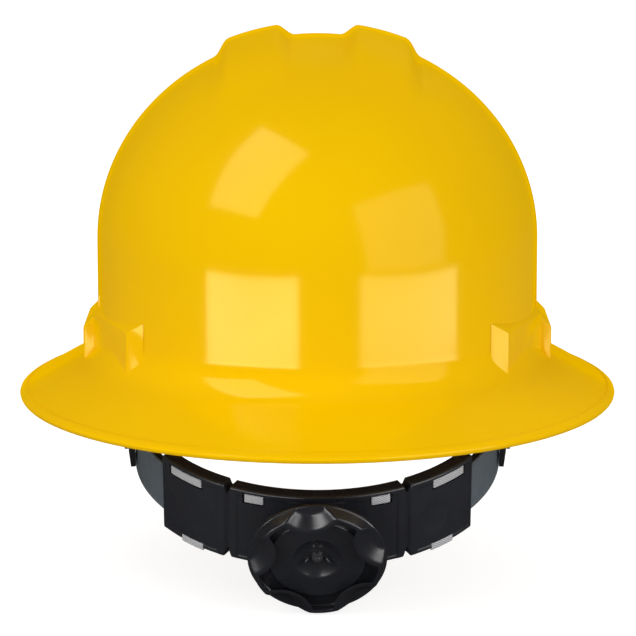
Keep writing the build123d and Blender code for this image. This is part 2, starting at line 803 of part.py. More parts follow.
# Pinion and its shaft
tooth_tip_half = tooth_pitch / 4 - tooth_height_up * tooth_lean - mesh_clearance / 2
tooth_root_half = tooth_pitch / 4 + tooth_height_down * tooth_lean - mesh_clearance / 2
pinion_root = tooth_pitch_radius - tooth_height_down + tab_gap
with BuildPart() as pinion:
    with BuildSketch(knob_plane.offset(pinion_back)):
        Circle(pinion_root)
        with BuildSketch(mode=Mode.PRIVATE) as tooth:
            with BuildLine():
                Polyline(
                    (pinion_root / 2, -tooth_root_half),
                    (tooth_pitch_radius - tooth_height_down, -tooth_root_half),
                    (tooth_pitch_radius + tooth_height_up, -tooth_tip_half),
                    (tooth_pitch_radius + tooth_height_up, tooth_tip_half),
                    (tooth_pitch_radius - tooth_height_down, tooth_root_half),
                    (pinion_root / 2, tooth_root_half),
                    close=True,
                )
            make_face()
        with PolarLocations(0, pinion_teeth, start_angle=90):
            add(tooth.sketch)
    extrude(amount=pinion_front - pinion_back)
    with BuildSketch(knob_plane.offset(pinion_front)):
        Circle(shaft_radius)
    extrude(amount=hub_back - tab_gap - pinion_front)
    with BuildSketch(knob_plane.offset(hub_back - screw_length)):
        Circle(screw_radius + tab_gap)
    extrude(amount=screw_length, mode=Mode.SUBTRACT)
pinion.part.label = "pinion"
print("pinion", len(pinion.part.solids()), pinion.part.volume)
export_step(pinion.part, "parts/pinion.step")

# Ratchet ring, fixed in the cover's boss
tooth_step = 2 * pi * ratchet_root_radius / ratchet_teeth
with BuildPart() as ratchet_ring:
    with BuildSketch(knob_plane.offset(ratchet_floor + tab_gap)):
        Circle(ratchet_ring_radius)
        Circle(ratchet_root_radius, mode=Mode.SUBTRACT)
        with BuildSketch(mode=Mode.PRIVATE) as tooth:
            with BuildLine():
                Polyline(
                    (ratchet_root_radius + ratchet_overlap, -tooth_step / 2),
                    (ratchet_tip_radius, tooth_step / 2 - ratchet_overlap),
                    (ratchet_root_radius + ratchet_overlap, tooth_step / 2),
                    close=True,
                )
            make_face()
        with PolarLocations(0, ratchet_teeth):
            add(tooth.sketch)
    extrude(amount=ratchet_thickness)
ratchet_ring.part.label = "ratchet_ring"
print("ratchet_ring", len(ratchet_ring.part.solids()), ratchet_ring.part.volume)
export_step(ratchet_ring.part, "parts/ratchet_ring.step")

# Pawl plate: three sprung arms round a hub on the shaft
with BuildPart() as pawl_plate:
    with BuildSketch(knob_plane.offset(ratchet_floor + 2 * tab_gap)):
        Circle(pawl_hub_radius)
        with BuildSketch(mode=Mode.PRIVATE) as pawl:
            with Locations((pawl_reach / 2, 0)):
                Rectangle(pawl_reach, pawl_width)
        with PolarLocations(0, pawl_count, start_angle=90):
            add(pawl.sketch)
        Circle(shaft_radius + running_gap, mode=Mode.SUBTRACT)
    extrude(amount=pawl_plate_thickness)
pawl_plate.part.label = "pawl_plate"
print("pawl_plate", len(pawl_plate.part.solids()), pawl_plate.part.volume)
export_step(pawl_plate.part, "parts/pawl_plate.step")

# Knob: a round flange, a tapered wall with scallops between its lobes, and a central well
wall_back = knob_flange_back + knob_flange_thickness
scallop_step = 360 / knob_lobes
first_scallop = knob_first_lobe + scallop_step / 2


def scallops(grow: float) -> Part:
    """The slanting hollows between the lobes, grown by a wall."""
    with BuildPart() as hollows:
        for turn in range(knob_lobes):
            heading = radians(first_scallop + turn * scallop_step)
            spot = (scallop_distance * cos(heading), scallop_distance * sin(heading))
            ends = ((wall_back, scallop_back_reach), (knob_front + tab_gap, scallop_front_reach))
            for level, reach in ends:
                with BuildSketch(knob_plane.offset(level)):
                    with Locations(spot):
                        Circle(scallop_distance - reach + grow)
            loft()
    return hollows.part


with BuildPart() as knob_dish:
    with BuildSketch(knob_plane.offset(wall_back)):
        Circle(knob_front_radius - knob_wall)
    extrude(amount=knob_front + tab_gap - wall_back)
    add(scallops(knob_wall), mode=Mode.SUBTRACT)

with BuildPart() as knob:
    with BuildSketch(knob_plane.offset(wall_back)):
        Circle(knob_flange_radius)
    with BuildSketch(knob_plane.offset(knob_front)):
        Circle(knob_front_radius)
    loft()
    add(scallops(0), mode=Mode.SUBTRACT)
    with BuildSketch(knob_plane.offset(knob_flange_back)):
        Circle(knob_flange_radius)
    extrude(amount=knob_flange_thickness)
    add(knob_dish.part, mode=Mode.SUBTRACT)
    with BuildSketch(knob_plane.offset(wall_back)):
        Circle(floor_disc_radius)
    extrude(amount=floor_disc_rise)
    with BuildSketch(knob_plane.offset(hub_back)):
        Circle(hub_radius)
    extrude(amount=knob_flange_back - hub_back)
    # the well, a cone with three spokes left standing
    with BuildSketch(knob_plane.offset(wall_back + floor_disc_rise)):
        Circle(well_radius)
    with BuildSketch(knob_plane.offset(hub_back + well_floor)):
        Circle(well_bottom_radius)
    loft(mode=Mode.SUBTRACT)
    with BuildSketch(knob_plane.offset(hub_back)):
        Circle(screw_boss_radius)
        with BuildSketch(mode=Mode.PRIVATE) as spoke:
            with Locations((well_bottom_radius / 2, 0)):
                Rectangle(well_bottom_radius + spoke_root, spoke_width)
        with PolarLocations(0, spoke_count, start_angle=90):
            add(spoke.sketch)
    extrude(amount=spoke_height)
    with BuildSketch(knob_plane.offset(hub_back - overrun)):
        Circle(screw_radius + tab_gap)
    extrude(amount=knob_front, mode=Mode.SUBTRACT)
knob.part.label = "knob"
print("knob", len(knob.part.solids()), knob.part.volume)
export_step(knob.part, "parts/knob.step")

with BuildPart() as knob_screw:
    with BuildSketch(knob_plane.offset(hub_back - screw_length + screw_end_gap)):
        Circle(screw_radius)
    extrude(amount=screw_length - screw_end_gap + spoke_height + tab_gap)
    with BuildSketch(knob_plane.offset(hub_back + spoke_height + tab_gap)):
        Circle(screw_head_radius)
    extrude(amount=screw_head_thickness)
    head_front = hub_back + spoke_height + tab_gap + screw_head_thickness
    with BuildSketch(knob_plane.offset(head_front - screw_socket)):
        RegularPolygon(screw_radius, 6)
    extrude(amount=overrun, mode=Mode.SUBTRACT)
knob_screw.part.label = "knob_screw"
print("knob_screw", len(knob_screw.part.solids()), knob_screw.part.volume)
export_step(knob_screw.part, "parts/knob_screw.step")
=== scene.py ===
"""Full brim hard hat seen from behind: its looks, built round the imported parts.

The shell is a moulded plastic dome with a brim, and under it hang a woven crown
suspension, a headband and the nape housing with its ratchet knob. Sizes are in
millimetres and every mesh is laid out in metres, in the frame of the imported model.
"""

from __future__ import annotations

import logging
import math
from dataclasses import dataclass
from enum import Enum

import bmesh
import bpy
import numpy as np
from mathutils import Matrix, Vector

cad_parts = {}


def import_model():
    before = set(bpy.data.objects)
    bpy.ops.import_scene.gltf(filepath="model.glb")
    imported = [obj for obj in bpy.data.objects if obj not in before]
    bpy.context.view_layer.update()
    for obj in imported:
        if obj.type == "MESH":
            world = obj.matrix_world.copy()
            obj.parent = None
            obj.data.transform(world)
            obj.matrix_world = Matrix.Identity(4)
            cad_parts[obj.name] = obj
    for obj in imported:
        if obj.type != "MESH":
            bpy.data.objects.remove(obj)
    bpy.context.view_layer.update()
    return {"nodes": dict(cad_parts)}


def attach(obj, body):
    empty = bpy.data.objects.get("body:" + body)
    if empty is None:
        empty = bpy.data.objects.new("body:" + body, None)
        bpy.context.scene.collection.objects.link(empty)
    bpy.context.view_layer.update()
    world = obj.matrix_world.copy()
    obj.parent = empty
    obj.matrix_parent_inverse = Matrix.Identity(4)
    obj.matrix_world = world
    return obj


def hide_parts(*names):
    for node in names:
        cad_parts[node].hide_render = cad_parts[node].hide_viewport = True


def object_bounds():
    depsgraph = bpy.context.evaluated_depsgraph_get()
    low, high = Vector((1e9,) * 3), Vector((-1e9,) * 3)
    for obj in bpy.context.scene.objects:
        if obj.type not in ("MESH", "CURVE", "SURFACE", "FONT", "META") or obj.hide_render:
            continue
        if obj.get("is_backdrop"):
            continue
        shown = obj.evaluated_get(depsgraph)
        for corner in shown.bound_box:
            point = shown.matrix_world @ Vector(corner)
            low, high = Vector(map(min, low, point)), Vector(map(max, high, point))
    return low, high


LOG = logging.getLogger("hard_hat")
MM = 0.001
Points = list[tuple[float, float]]
Vec3 = tuple[float, float, float]
Vec4 = tuple[float, float, float, float]
Object = bpy.types.Object
Tree = bpy.types.NodeTree
Socket = bpy.types.NodeSocket

# where the shell's corner pockets stand, for the shell and for the straps that hang from them
DOME_HALF_WIDTH = 101.0
POCKET_FACING = 26.0
POCKET_SEAT = DOME_HALF_WIDTH - 0.25
POCKET_SLIDE_SHARE = 0.1287


class Body(Enum):
    """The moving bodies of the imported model."""

    SHELL = "shell_body"
    HEADBAND = "headband_body"
    KNOB = "knob_body"
    RACK_LEFT = "rack_left_body"
    RACK_RIGHT = "rack_right_body"


# ---------------------------------------------------------------- frames


@dataclass(frozen=True)
class Place:
    """A frame in the model's millimetres, with an origin and three axes."""

    origin: Vec3
    x_axis: Vec3
    y_axis: Vec3
    z_axis: Vec3

    def world(self, points: np.ndarray) -> np.ndarray:
        """Points of this frame in the model's frame.

        Args:
            points: Local points in millimetres, with the axes last.

        Returns:
            The points in the model's frame, in millimetres.
        """
        axes = np.array([self.x_axis, self.y_axis, self.z_axis])
        return np.asarray(points, float) @ axes + np.array(self.origin)


@dataclass(frozen=True)
class Ring:
    """The headband's ring: an egg of two circles in a tilted plane."""

    tilt: float = 18.0
    height: float = -11.2
    back_radius: float = 80.0
    back_centre: float = -34.0
    front_radius: float = 55.7
    front_centre: float = 41.0

    @property
    def place(self) -> Place:
        """The ring's own frame, with its Z up the ring's axis."""
        turn = math.radians(self.tilt)
        return Place(
            (0, 0, self.height),
            (1, 0, 0),
            (0, math.cos(turn), math.sin(turn)),
            (0, -math.sin(turn), math.cos(turn)),
        )

    @property
    def lead(self) -> float:
        """The turn between the ring's straight runs and its length, in radians."""
        return math.asin((self.back_radius - self.front_radius) / (self.front_centre - self.back_centre))

    def at(self, turn: float, out: float, level: float) -> Vec3:
        """A point beside the rear circle.

        Args:
            turn: Degrees from the nape towards the wearer's right.
            out: Millimetres outside the racks' middle line.
            level: Millimetres up the ring's axis.

        Returns:
            The point in the ring's frame.
        """
        angle, radius = math.radians(turn), self.back_radius + out
        return (radius * math.sin(angle), self.back_centre - radius * math.cos(angle), level)

    def round_brow(self, start: float, step: float) -> list[Vec4]:
        """The ring's line from one wing round the brow to the other wing.

        Args:
            start: Degrees from the nape where the line starts and ends.
            step: The spacing of its points in millimetres.

        Returns:
            Points and outward normals in the ring's plane, as x, y, normal x, normal y.
        """
        lead = math.degrees(self.lead)
        line: list[Vec4] = []
        side_turn = 90 + lead

        def spot(normal: tuple[float, float], radius: float, centre: float) -> Vec4:
            """A point of one of the ring's circles, with its normal."""
            return (normal[0] * radius, centre + normal[1] * radius, *normal)

        count = max(4, int(math.radians(side_turn - start) * self.back_radius / step))
        for turn in np.linspace(start, side_turn, count):
            angle = math.radians(turn)
            line.append(spot((math.sin(angle), -math.cos(angle)), self.back_radius, self.back_centre))
        normal = (math.cos(self.lead), math.sin(self.lead))
        first = np.array(line[-1][:2])
        last = np.array(spot(normal, self.front_radius, self.front_centre)[:2])
        count = int(np.linalg.norm(last - first) / step)
        for share in np.linspace(0, 1, count + 1)[1:]:
            line.append((*(first + (last - first) * share), *normal))
        count = int(math.radians(90 - lead) * self.front_radius / step)
        for turn in np.linspace(lead, 90, count)[1:]:
            angle = math.radians(turn)
            line.append(spot((math.cos(angle), math.sin(angle)), self.front_radius, self.front_centre))
        mirrored = [(-x, y, -nx, ny) for x, y, nx, ny in reversed(line[:-1])]
        return line + mirrored


RING = Ring()
KNOB_TILT = 28.0
REAR = Ring().place.world(np.array([0.0, RING.back_centre - RING.back_radius, 0.0]))
KNOB_PLACE = Place(
    tuple(REAR),
    (1, 0, 0),
    (0, -math.sin(math.radians(KNOB_TILT)), math.cos(math.radians(KNOB_TILT))),
    (0, -math.cos(math.radians(KNOB_TILT)), -math.sin(math.radians(KNOB_TILT))),
)


# ---------------------------------------------------------------- mesh tools


def make_object(name: str, vertices: np.ndarray, faces: list[tuple[int, ...]]) -> Object:
    """Makes a mesh object from points in millimetres, with its faces pointing outwards.

    Args:
        name: The object's name.
        vertices: Points in the model's frame, in millimetres.
        faces: Vertex indices of each face.

    Returns:
        The object, linked to the scene and at its origin.
    """
    mesh = bpy.data.meshes.new(name)
    mesh.from_pydata([tuple(v) for v in np.asarray(vertices) * MM], [], faces)
    work = bmesh.new()
    work.from_mesh(mesh)
    bmesh.ops.remove_doubles(work, verts=work.verts, dist=1e-6)
    bmesh.ops.recalc_face_normals(work, faces=work.faces)
    if work.calc_volume(signed=True) < 0:
        bmesh.ops.reverse_faces(work, faces=work.faces)
    work.to_mesh(mesh)
    work.free()
    made = bpy.data.objects.new(name, mesh)
    bpy.context.scene.collection.objects.link(made)
    return made


def grid_faces(rows: int, columns: int, around: bool, close: bool = False) -> list[tuple[int, ...]]:
    """The faces of a grid of points.

    Args:
        rows: How many rows of points.
        columns: How many points in a row.
        around: Whether each row is a closed loop.
        close: Whether the last row joins the first.

    Returns:
        Vertex indices of the faces.
    """
    faces: list[tuple[int, ...]] = []
    for row in range(rows if close else rows - 1):
        after = (row + 1) % rows
        for column in range(columns if around else columns - 1):
            beside = (column + 1) % columns
            here, there = row * columns, after * columns
            faces.append((here + column, here + beside, there + beside, there + column))
    return faces


def rings_object(name: str, rings: np.ndarray) -> Object:
    """A closed solid from rings that run from one pole to the other.

    Args:
        name: The object's name.
        rings: An array of rings, points and axes, whose first and last ring are each one point.

    Returns:
        The object.
    """
    rows, columns = rings.shape[:2]
    return make_object(name, rings.reshape(-1, 3), grid_faces(rows, columns, True))


def swept_object(name: str, sections: np.ndarray, closed: bool = False) -> Object:
    """A closed solid from cross-sections that follow a path.

    Args:
        name: The object's name.
        sections: An array of sections, points and axes.
        closed: Whether the path is a loop, which needs no ends.

    Returns:
        The object.
    """
    rows, columns = sections.shape[:2]
    faces = grid_faces(rows, columns, True, closed)
    if not closed:
        faces.append(tuple(range(columns)))
        faces.append(tuple((rows - 1) * columns + i for i in reversed(range(columns))))
    return make_object(name, sections.reshape(-1, 3), faces)


def levels_object(name: str, outlines: list[np.ndarray]) -> Object:
    """A closed solid whose outlines stand one above another.

    Args:
        name: The object's name.
        outlines: Outlines of equally many points, in millimetres.

    Returns:
        The object.
    """
    return swept_object(name, np.array(outlines))


def block(name: str, place: Place, size: Vec3, low: Vec3) -> Object:
    """A cutter or wall with square corners.

    Args:
        name: The object's name.
        place: The frame that it stands in.
        size: Its size along that frame's axes.
        low: Its lowest corner in that frame.

    Returns:
        The object.
    """
    (a, b, c), (i, j, k) = size, low
    base = np.array([(i, j, k), (i + a, j, k), (i + a, j + b, k), (i, j + b, k)], float)
    return levels_object(name, [place.world(base), place.world(base + np.array([0, 0, c]))])


def rounded_line(corners: Points, radii: list[float], step: float) -> np.ndarray:
    """A line through corners, each rounded by its radius.

    Args:
        corners: The line's corners.
        radii: The rounding at each inner corner.
        step: The longest run between its points.

    Returns:
        The line's points.
    """
    line: list[np.ndarray] = [np.array(corners[0], float)]

    def run_to(target: np.ndarray) -> None:
        """Adds points up to a target, a step or less apart."""
        start = line[-1]
        count = max(1, math.ceil(float(np.linalg.norm(target - start)) / step))
        line.extend(start + (target - start) * i / count for i in range(1, count + 1))

    for before, corner, after, radius in zip(corners, corners[1:], corners[2:], radii):
        here = np.array(corner, float)
        back = np.array(before, float) - here
        on = np.array(after, float) - here
        back /= np.linalg.norm(back)
        on /= np.linalg.norm(on)
        half = math.acos(max(-1.0, min(1.0, float(back @ on)))) / 2
        if radius <= 0 or half > math.pi / 2 - 1e-3:
            run_to(here)
            continue
        reach = radius / math.tan(half)
        middle = here + (back + on) / np.linalg.norm(back + on) * radius / math.sin(half)
        first, last = here + back * reach, here + on * reach
        run_to(first)
        start = math.atan2(*(first - middle)[::-1])
        sweep = math.atan2(*(last - middle)[::-1]) - start
        sweep = (sweep + math.pi) % (2 * math.pi) - math.pi
        count = max(3, math.ceil(abs(sweep) * radius / step))
        for i in range(1, count + 1):
            angle = start + sweep * i / count
            line.append(middle + radius * np.array([math.cos(angle), math.sin(angle)]))
    run_to(np.array(corners[-1], float))
    return np.array(line)


def smooth_step(value: np.ndarray, low: float, high: float) -> np.ndarray:
    """A smooth rise from nought at low to one at high."""
    share = np.clip((value - low) / (high - low), 0, 1)
    return share * share * (3 - 2 * share)


def soft_min(one: np.ndarray, other: np.ndarray, blend: float) -> np.ndarray:
    """The smaller of two values, blended where they are close."""
    share = np.clip(0.5 + 0.5 * (other - one) / blend, 0, 1)
    return other * (1 - share) + one * share - blend * share * (1 - share)


def bake(made: Object) -> Object:
    """Applies an object's modifiers to its mesh.

    Args:
        made: The object.

    Returns:
        The same object, with the result as its mesh.
    """
    graph = bpy.context.evaluated_depsgraph_get()
    graph.update()
    mesh = bpy.data.meshes.new_from_object(made.evaluated_get(graph), depsgraph=graph)
    made.modifiers.clear()
    old, made.data = made.data, mesh
    mesh.name = made.name
    bpy.data.meshes.remove(old)
    return made


def combine(base: Object, tools: list[Object], how: str) -> Object:
    """Joins solids into a base solid or cuts them out of it.

    Args:
        base: The solid that changes.
        tools: The solids that are used up.
        how: UNION or DIFFERENCE.

    Returns:
        The base.
    """
    for tool in tools:
        modifier = base.modifiers.new(tool.name, "BOOLEAN")
        modifier.operation = how
        modifier.solver = "MANIFOLD"
        modifier.object = tool
    bake(base)
    for tool in tools:
        bpy.data.objects.remove(tool)
    return base


def soften(made: Object, width: float, segments: int = 2, angle: float = 35.0) -> Object:
    """Rounds an object's sharp edges and bakes the result.

    Args:
        made: The object.
        width: The rounding in millimetres.
        segments: Faces across each rounded edge.
        angle: Edges sharper than this many degrees are rounded.

    Returns:
        The object.
    """
    bevel = made.modifiers.new("rounded_edges", "BEVEL")
    bevel.width = width * MM
    bevel.segments = segments
    bevel.limit_method = "ANGLE"
    bevel.angle_limit = math.radians(angle)
    bevel.use_clamp_overlap = True
    bevel.harden_normals = False
    return bake(made)


def shade(made: Object, angle: float = 32.0) -> None:
    """Shades an object smoothly, with creases above an angle in degrees."""
    made.data.shade_smooth()
    made.data.set_sharp_from_angle(angle=math.radians(angle))


def from_node(node: Object, name: str, width: float, angle: float = 35.0) -> Object:
    """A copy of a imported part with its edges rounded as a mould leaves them.

    Args:
        node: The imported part.
        name: The copy's name.
        width: The rounding in millimetres.
        angle: Edges sharper than this many degrees are rounded.

    Returns:
        The copy.
    """
    mesh = node.data.copy()
    work = bmesh.new()
    work.from_mesh(mesh)
    bmesh.ops.remove_doubles(work, verts=work.verts, dist=2e-6)
    bmesh.ops.dissolve_limit(
        work, angle_limit=math.radians(0.4), verts=work.verts, edges=work.edges, use_dissolve_boundaries=False
    )
    work.to_mesh(mesh)
    work.free()
    mesh.materials.clear()
    made = bpy.data.objects.new(name, mesh)
    bpy.context.scene.collection.objects.link(made)
    soften(made, width, 2, angle)
    shade(made, 40)
    return made


def smooth_uv(made: Object, values: np.ndarray) -> None:
    """Gives a mesh a UV map in millimetres.

    Args:
        made: The object.
        values: One pair for each vertex.
    """
    layer = made.data.uv_layers.new(name="surface")
    corners = np.zeros(len(made.data.loops), np.int32)
    made.data.loops.foreach_get("vertex_index", corners)
    layer.data.foreach_set("uv", values[corners].astype(np.float32).ravel())


# ---------------------------------------------------------------- finishes


def linear(code: str) -> Vec4:
    """An sRGB hex colour as the linear colour that a shader takes."""
    parts = [int(code[i : i + 2], 16) / 255 for i in (0, 2, 4)]
    return (*(c / 12.92 if c <= 0.04045 else ((c + 0.055) / 1.055) ** 2.4 for c in parts), 1.0)


def add_node(tree: Tree, kind: str, inputs: dict | None = None, **settings: object) -> bpy.types.Node:
    """Adds a node with its settings and links.

    Args:
        tree: The node tree.
        kind: The node's type.
        inputs: Values or sockets for its inputs, by name or place.
        settings: Its properties.

    Returns:
        The node.
    """
    made = tree.nodes.new(kind)
    for key, value in settings.items():
        setattr(made, key, value)
    for key, value in (inputs or {}).items():
        socket = made.inputs[key]
        if isinstance(value, Socket):
            tree.links.new(value, socket)
        else:
            socket.default_value = value
    return made


class Surface(Enum):
    """How a finish's surface was made."""

    MOULDED = "moulded"
    SPARK_GRAINED = "spark_grained"
    EXTRUDED = "extruded"
    WEBBING = "webbing"
    KNITTED = "knitted"
    TWILL = "twill"
    TURNED = "turned"


@dataclass(frozen=True)
class Finish:
    """A material of the real hat.

    Attributes:
        name: What it is made of and how.
        colour: Its main colour, as sRGB hex.
        second: The colour that it varies towards.
        surface: How its surface was made.
        roughness: The shader's roughness.
        grain: The size of its pattern in millimetres.
        depth: The depth of its relief in millimetres.
        metallic: Nought for anything but metal.
        tint: The tint of its reflections, as sRGB hex.
        sheen: The fuzz of a cloth.
        gloss: The strength of its reflections, half for plain plastic.
        rim_gloss: The same where the surface turns away from the eye.
    """

    name: str
    colour: str
    second: str
    surface: Surface
    roughness: float
    grain: float
    depth: float
    metallic: float = 0.0
    tint: str = "FFFFFF"
    sheen: float = 0.0
    gloss: float = 0.5
    rim_gloss: float = 0.5

    def waves(self, tree: Tree, where: Socket, axis: str, pitch: float) -> Socket:
        """Parallel rounded threads or ribs.

        Args:
            tree: The node tree.
            where: The coordinates that they follow.
            axis: The axis that they repeat along.
            pitch: Their spacing, in the units of the coordinates.

        Returns:
            A height from nought to one.
        """
        wave = add_node(
            tree,
            "ShaderNodeTexWave",
            {"Vector": where, "Scale": math.pi / (10 * pitch), "Distortion": 0.0},
            wave_type="BANDS",
            bands_direction=axis,
            wave_profile="SIN",
        )
        return wave.outputs["Fac"]

    def relief(self, tree: Tree) -> tuple[Socket, Socket]:
        """The finish's pattern.

        Args:
            tree: The material's node tree.

        Returns:
            The share of the second colour, and the height, each from nought to one.
        """
        coordinates = add_node(tree, "ShaderNodeTexCoord")
        place = coordinates.outputs["Object"]
        cloth = coordinates.outputs["UV"]
        per_grain = 1 / (self.grain * MM)
        cloud = add_node(
            tree, "ShaderNodeTexNoise", {"Vector": place, "Scale": 22.0, "Detail": 3.0, "Roughness": 0.55}
        ).outputs["Fac"]
        if self.surface is Surface.WEBBING:
            across = self.waves(tree, cloth, "X", self.grain)
            along = self.waves(tree, cloth, "Y", self.grain * 0.8)
            height = add_node(
                tree, "ShaderNodeMath", {0: across, 1: along}, operation="MULTIPLY"
            ).outputs[0]
            return height, height
        if self.surface is Surface.TWILL:
            lean = (0.0, math.radians(58), 0.0)
            slant = add_node(tree, "ShaderNodeMapping", {"Vector": place, "Rotation": lean})
            ribs = self.waves(tree, slant.outputs[0], "X", self.grain * MM)
            return ribs, ribs
        if self.surface is Surface.KNITTED:
            cells = add_node(
                tree, "ShaderNodeTexVoronoi", {"Vector": place, "Scale": per_grain}, feature="SMOOTH_F1"
            ).outputs["Distance"]
            return cells, cells
        if self.surface is Surface.EXTRUDED:
            stretched = add_node(tree, "ShaderNodeMapping", {"Vector": place, "Scale": (1.0, 1.0, 0.04)})
            streaks = add_node(
                tree,
                "ShaderNodeTexNoise",
                {"Vector": stretched.outputs[0], "Scale": per_grain, "Detail": 4.0, "Roughness": 0.6},
            ).outputs["Fac"]
            return streaks, streaks
        if self.surface is Surface.TURNED:
            rings = add_node(
                tree,
                "ShaderNodeTexWave",
                {"Vector": place, "Scale": per_grain, "Distortion": 1.0},
                wave_type="RINGS",
                rings_direction="Y",
            ).outputs["Fac"]
            return cloud, rings
        fine = add_node(
            tree, "ShaderNodeTexNoise", {"Vector": place, "Scale": per_grain, "Detail": 2.0, "Roughness": 0.5}
        ).outputs["Fac"]
        return cloud, fine

    def build(self) -> bpy.types.Material:
        """Makes the material.

        Returns:
            The material, with its colour, roughness and relief from nodes.
        """
        material = bpy.data.materials.new(self.name)
        material.use_nodes = True
        tree = material.node_tree
        tree.nodes.clear()
        share, height = self.relief(tree)
        soft_share = add_node(
            tree,
            "ShaderNodeMapRange",
            {"Value": share, "From Min": 0.25, "From Max": 0.75, "To Min": 0.0, "To Max": 1.0},
        )
        colour = add_node(
            tree,
            "ShaderNodeMix",
            {"Factor": soft_share.outputs[0], 6: linear(self.colour), 7: linear(self.second)},
            data_type="RGBA",
        )
        gloss = add_node(
            tree,
            "ShaderNodeMapRange",
            {
                "Value": share,
                "From Min": 0.2,
                "From Max": 0.8,
                "To Min": self.roughness - 0.03,
                "To Max": self.roughness + 0.04,
            },
        )
        bump = add_node(
            tree, "ShaderNodeBump", {"Height": height, "Strength": 1.0, "Distance": self.depth * MM}
        )
        facing = add_node(tree, "ShaderNodeLayerWeight", {"Blend": 0.5})
        level = add_node(
            tree,
            "ShaderNodeMapRange",
            {
                "Value": facing.outputs["Facing"],
                "From Min": 0.3,
                "From Max": 0.85,
                "To Min": self.gloss,
                "To Max": self.rim_gloss,
            },
            interpolation_type="SMOOTHSTEP",
        )
        shader = add_node(
            tree,
            "ShaderNodeBsdfPrincipled",
            {
                "Base Color": colour.outputs[2],
                "Specular IOR Level": level.outputs[0],
                "Roughness": gloss.outputs[0],
                "Normal": bump.outputs[0],
                "Metallic": self.metallic,
                "IOR": 1.5,
                "Specular Tint": linear(self.tint),
                "Sheen Weight": self.sheen,
                "Sheen Roughness": 0.6,
            },
        )
        add_node(tree, "ShaderNodeOutputMaterial", {"Surface": shader.outputs[0]})
        return material


class Materials:
    """Every finish of the hat, made once and handed out by name."""

    # high-density polyethylene, gloss moulded: saturated, with clear reflections
    SHELL = Finish(
        "hdpe_gloss_yellow", "F5C100", "F3BE00", Surface.MOULDED, 0.12, 9.0, 0.02,
        tint="FFF0A0", rim_gloss=0.0,
    )
    # nylon from spark-eroded moulds: fine even grain, satin inside and glossier at the nape and knob
    NYLON = Finish(
        "nylon_spark_grain", "222225", "2A2A2E", Surface.SPARK_GRAINED, 0.5, 0.7, 0.02,
        gloss=0.35, rim_gloss=0.2,
    )
    NAPE = Finish(
        "nape_nylon_spark_grain", "202127", "282A30", Surface.SPARK_GRAINED, 0.28, 0.8, 0.02,
        gloss=0.8, rim_gloss=0.6,
    )
    KNOB = Finish(
        "knob_nylon_satin", "1C1D22", "25262B", Surface.SPARK_GRAINED, 0.24, 0.9, 0.015,
        gloss=0.8, rim_gloss=0.6,
    )
    # polyester webbing in a plain weave: dull, with a visible thread
    WEBBING = Finish("polyester_webbing", "1E1E21", "34343A", Surface.WEBBING, 0.8, 1.1, 0.25, sheen=0.25)
    # low-density polyethylene strip: satin, drawn marks down its face
    BAND = Finish(
        "ldpe_strip_grey", "565F67", "666D73", Surface.EXTRUDED, 0.42, 1.6, 0.03,
        gloss=0.3, rim_gloss=0.1,
    )
    # terry cloth over foam: matt and fuzzy
    BROW = Finish("terry_cloth_grey", "3A3C3F", "4A4C50", Surface.KNITTED, 0.9, 1.3, 0.3, sheen=0.4)
    # polyester twill: pale, with slanted ribs
    TWILL = Finish("polyester_twill_pale", "A9AAAE", "CBCCD0", Surface.TWILL, 0.75, 0.9, 0.12, sheen=0.2)
    # zinc-plated steel, turned
    STEEL = Finish("zinc_plated_steel", "C9C9CC", "B8B8BC", Surface.TURNED, 0.28, 0.4, 0.01, metallic=1.0)
    THREAD = Finish("polyester_thread", "8C8D90", "A5A6A9", Surface.SPARK_GRAINED, 0.7, 0.3, 0.02)

    def __init__(self) -> None:
        """Builds each material."""
        names = ("SHELL", "NYLON", "NAPE", "KNOB", "WEBBING", "BAND", "BROW", "TWILL", "STEEL", "THREAD")
        self.made = {name: getattr(self, name).build() for name in names}

    def dress(self, made: Object, name: str) -> None:
        """Gives an object one material on all its faces."""
        made.data.materials.clear()
        made.data.materials.append(self.made[name])


# ---------------------------------------------------------------- the shell


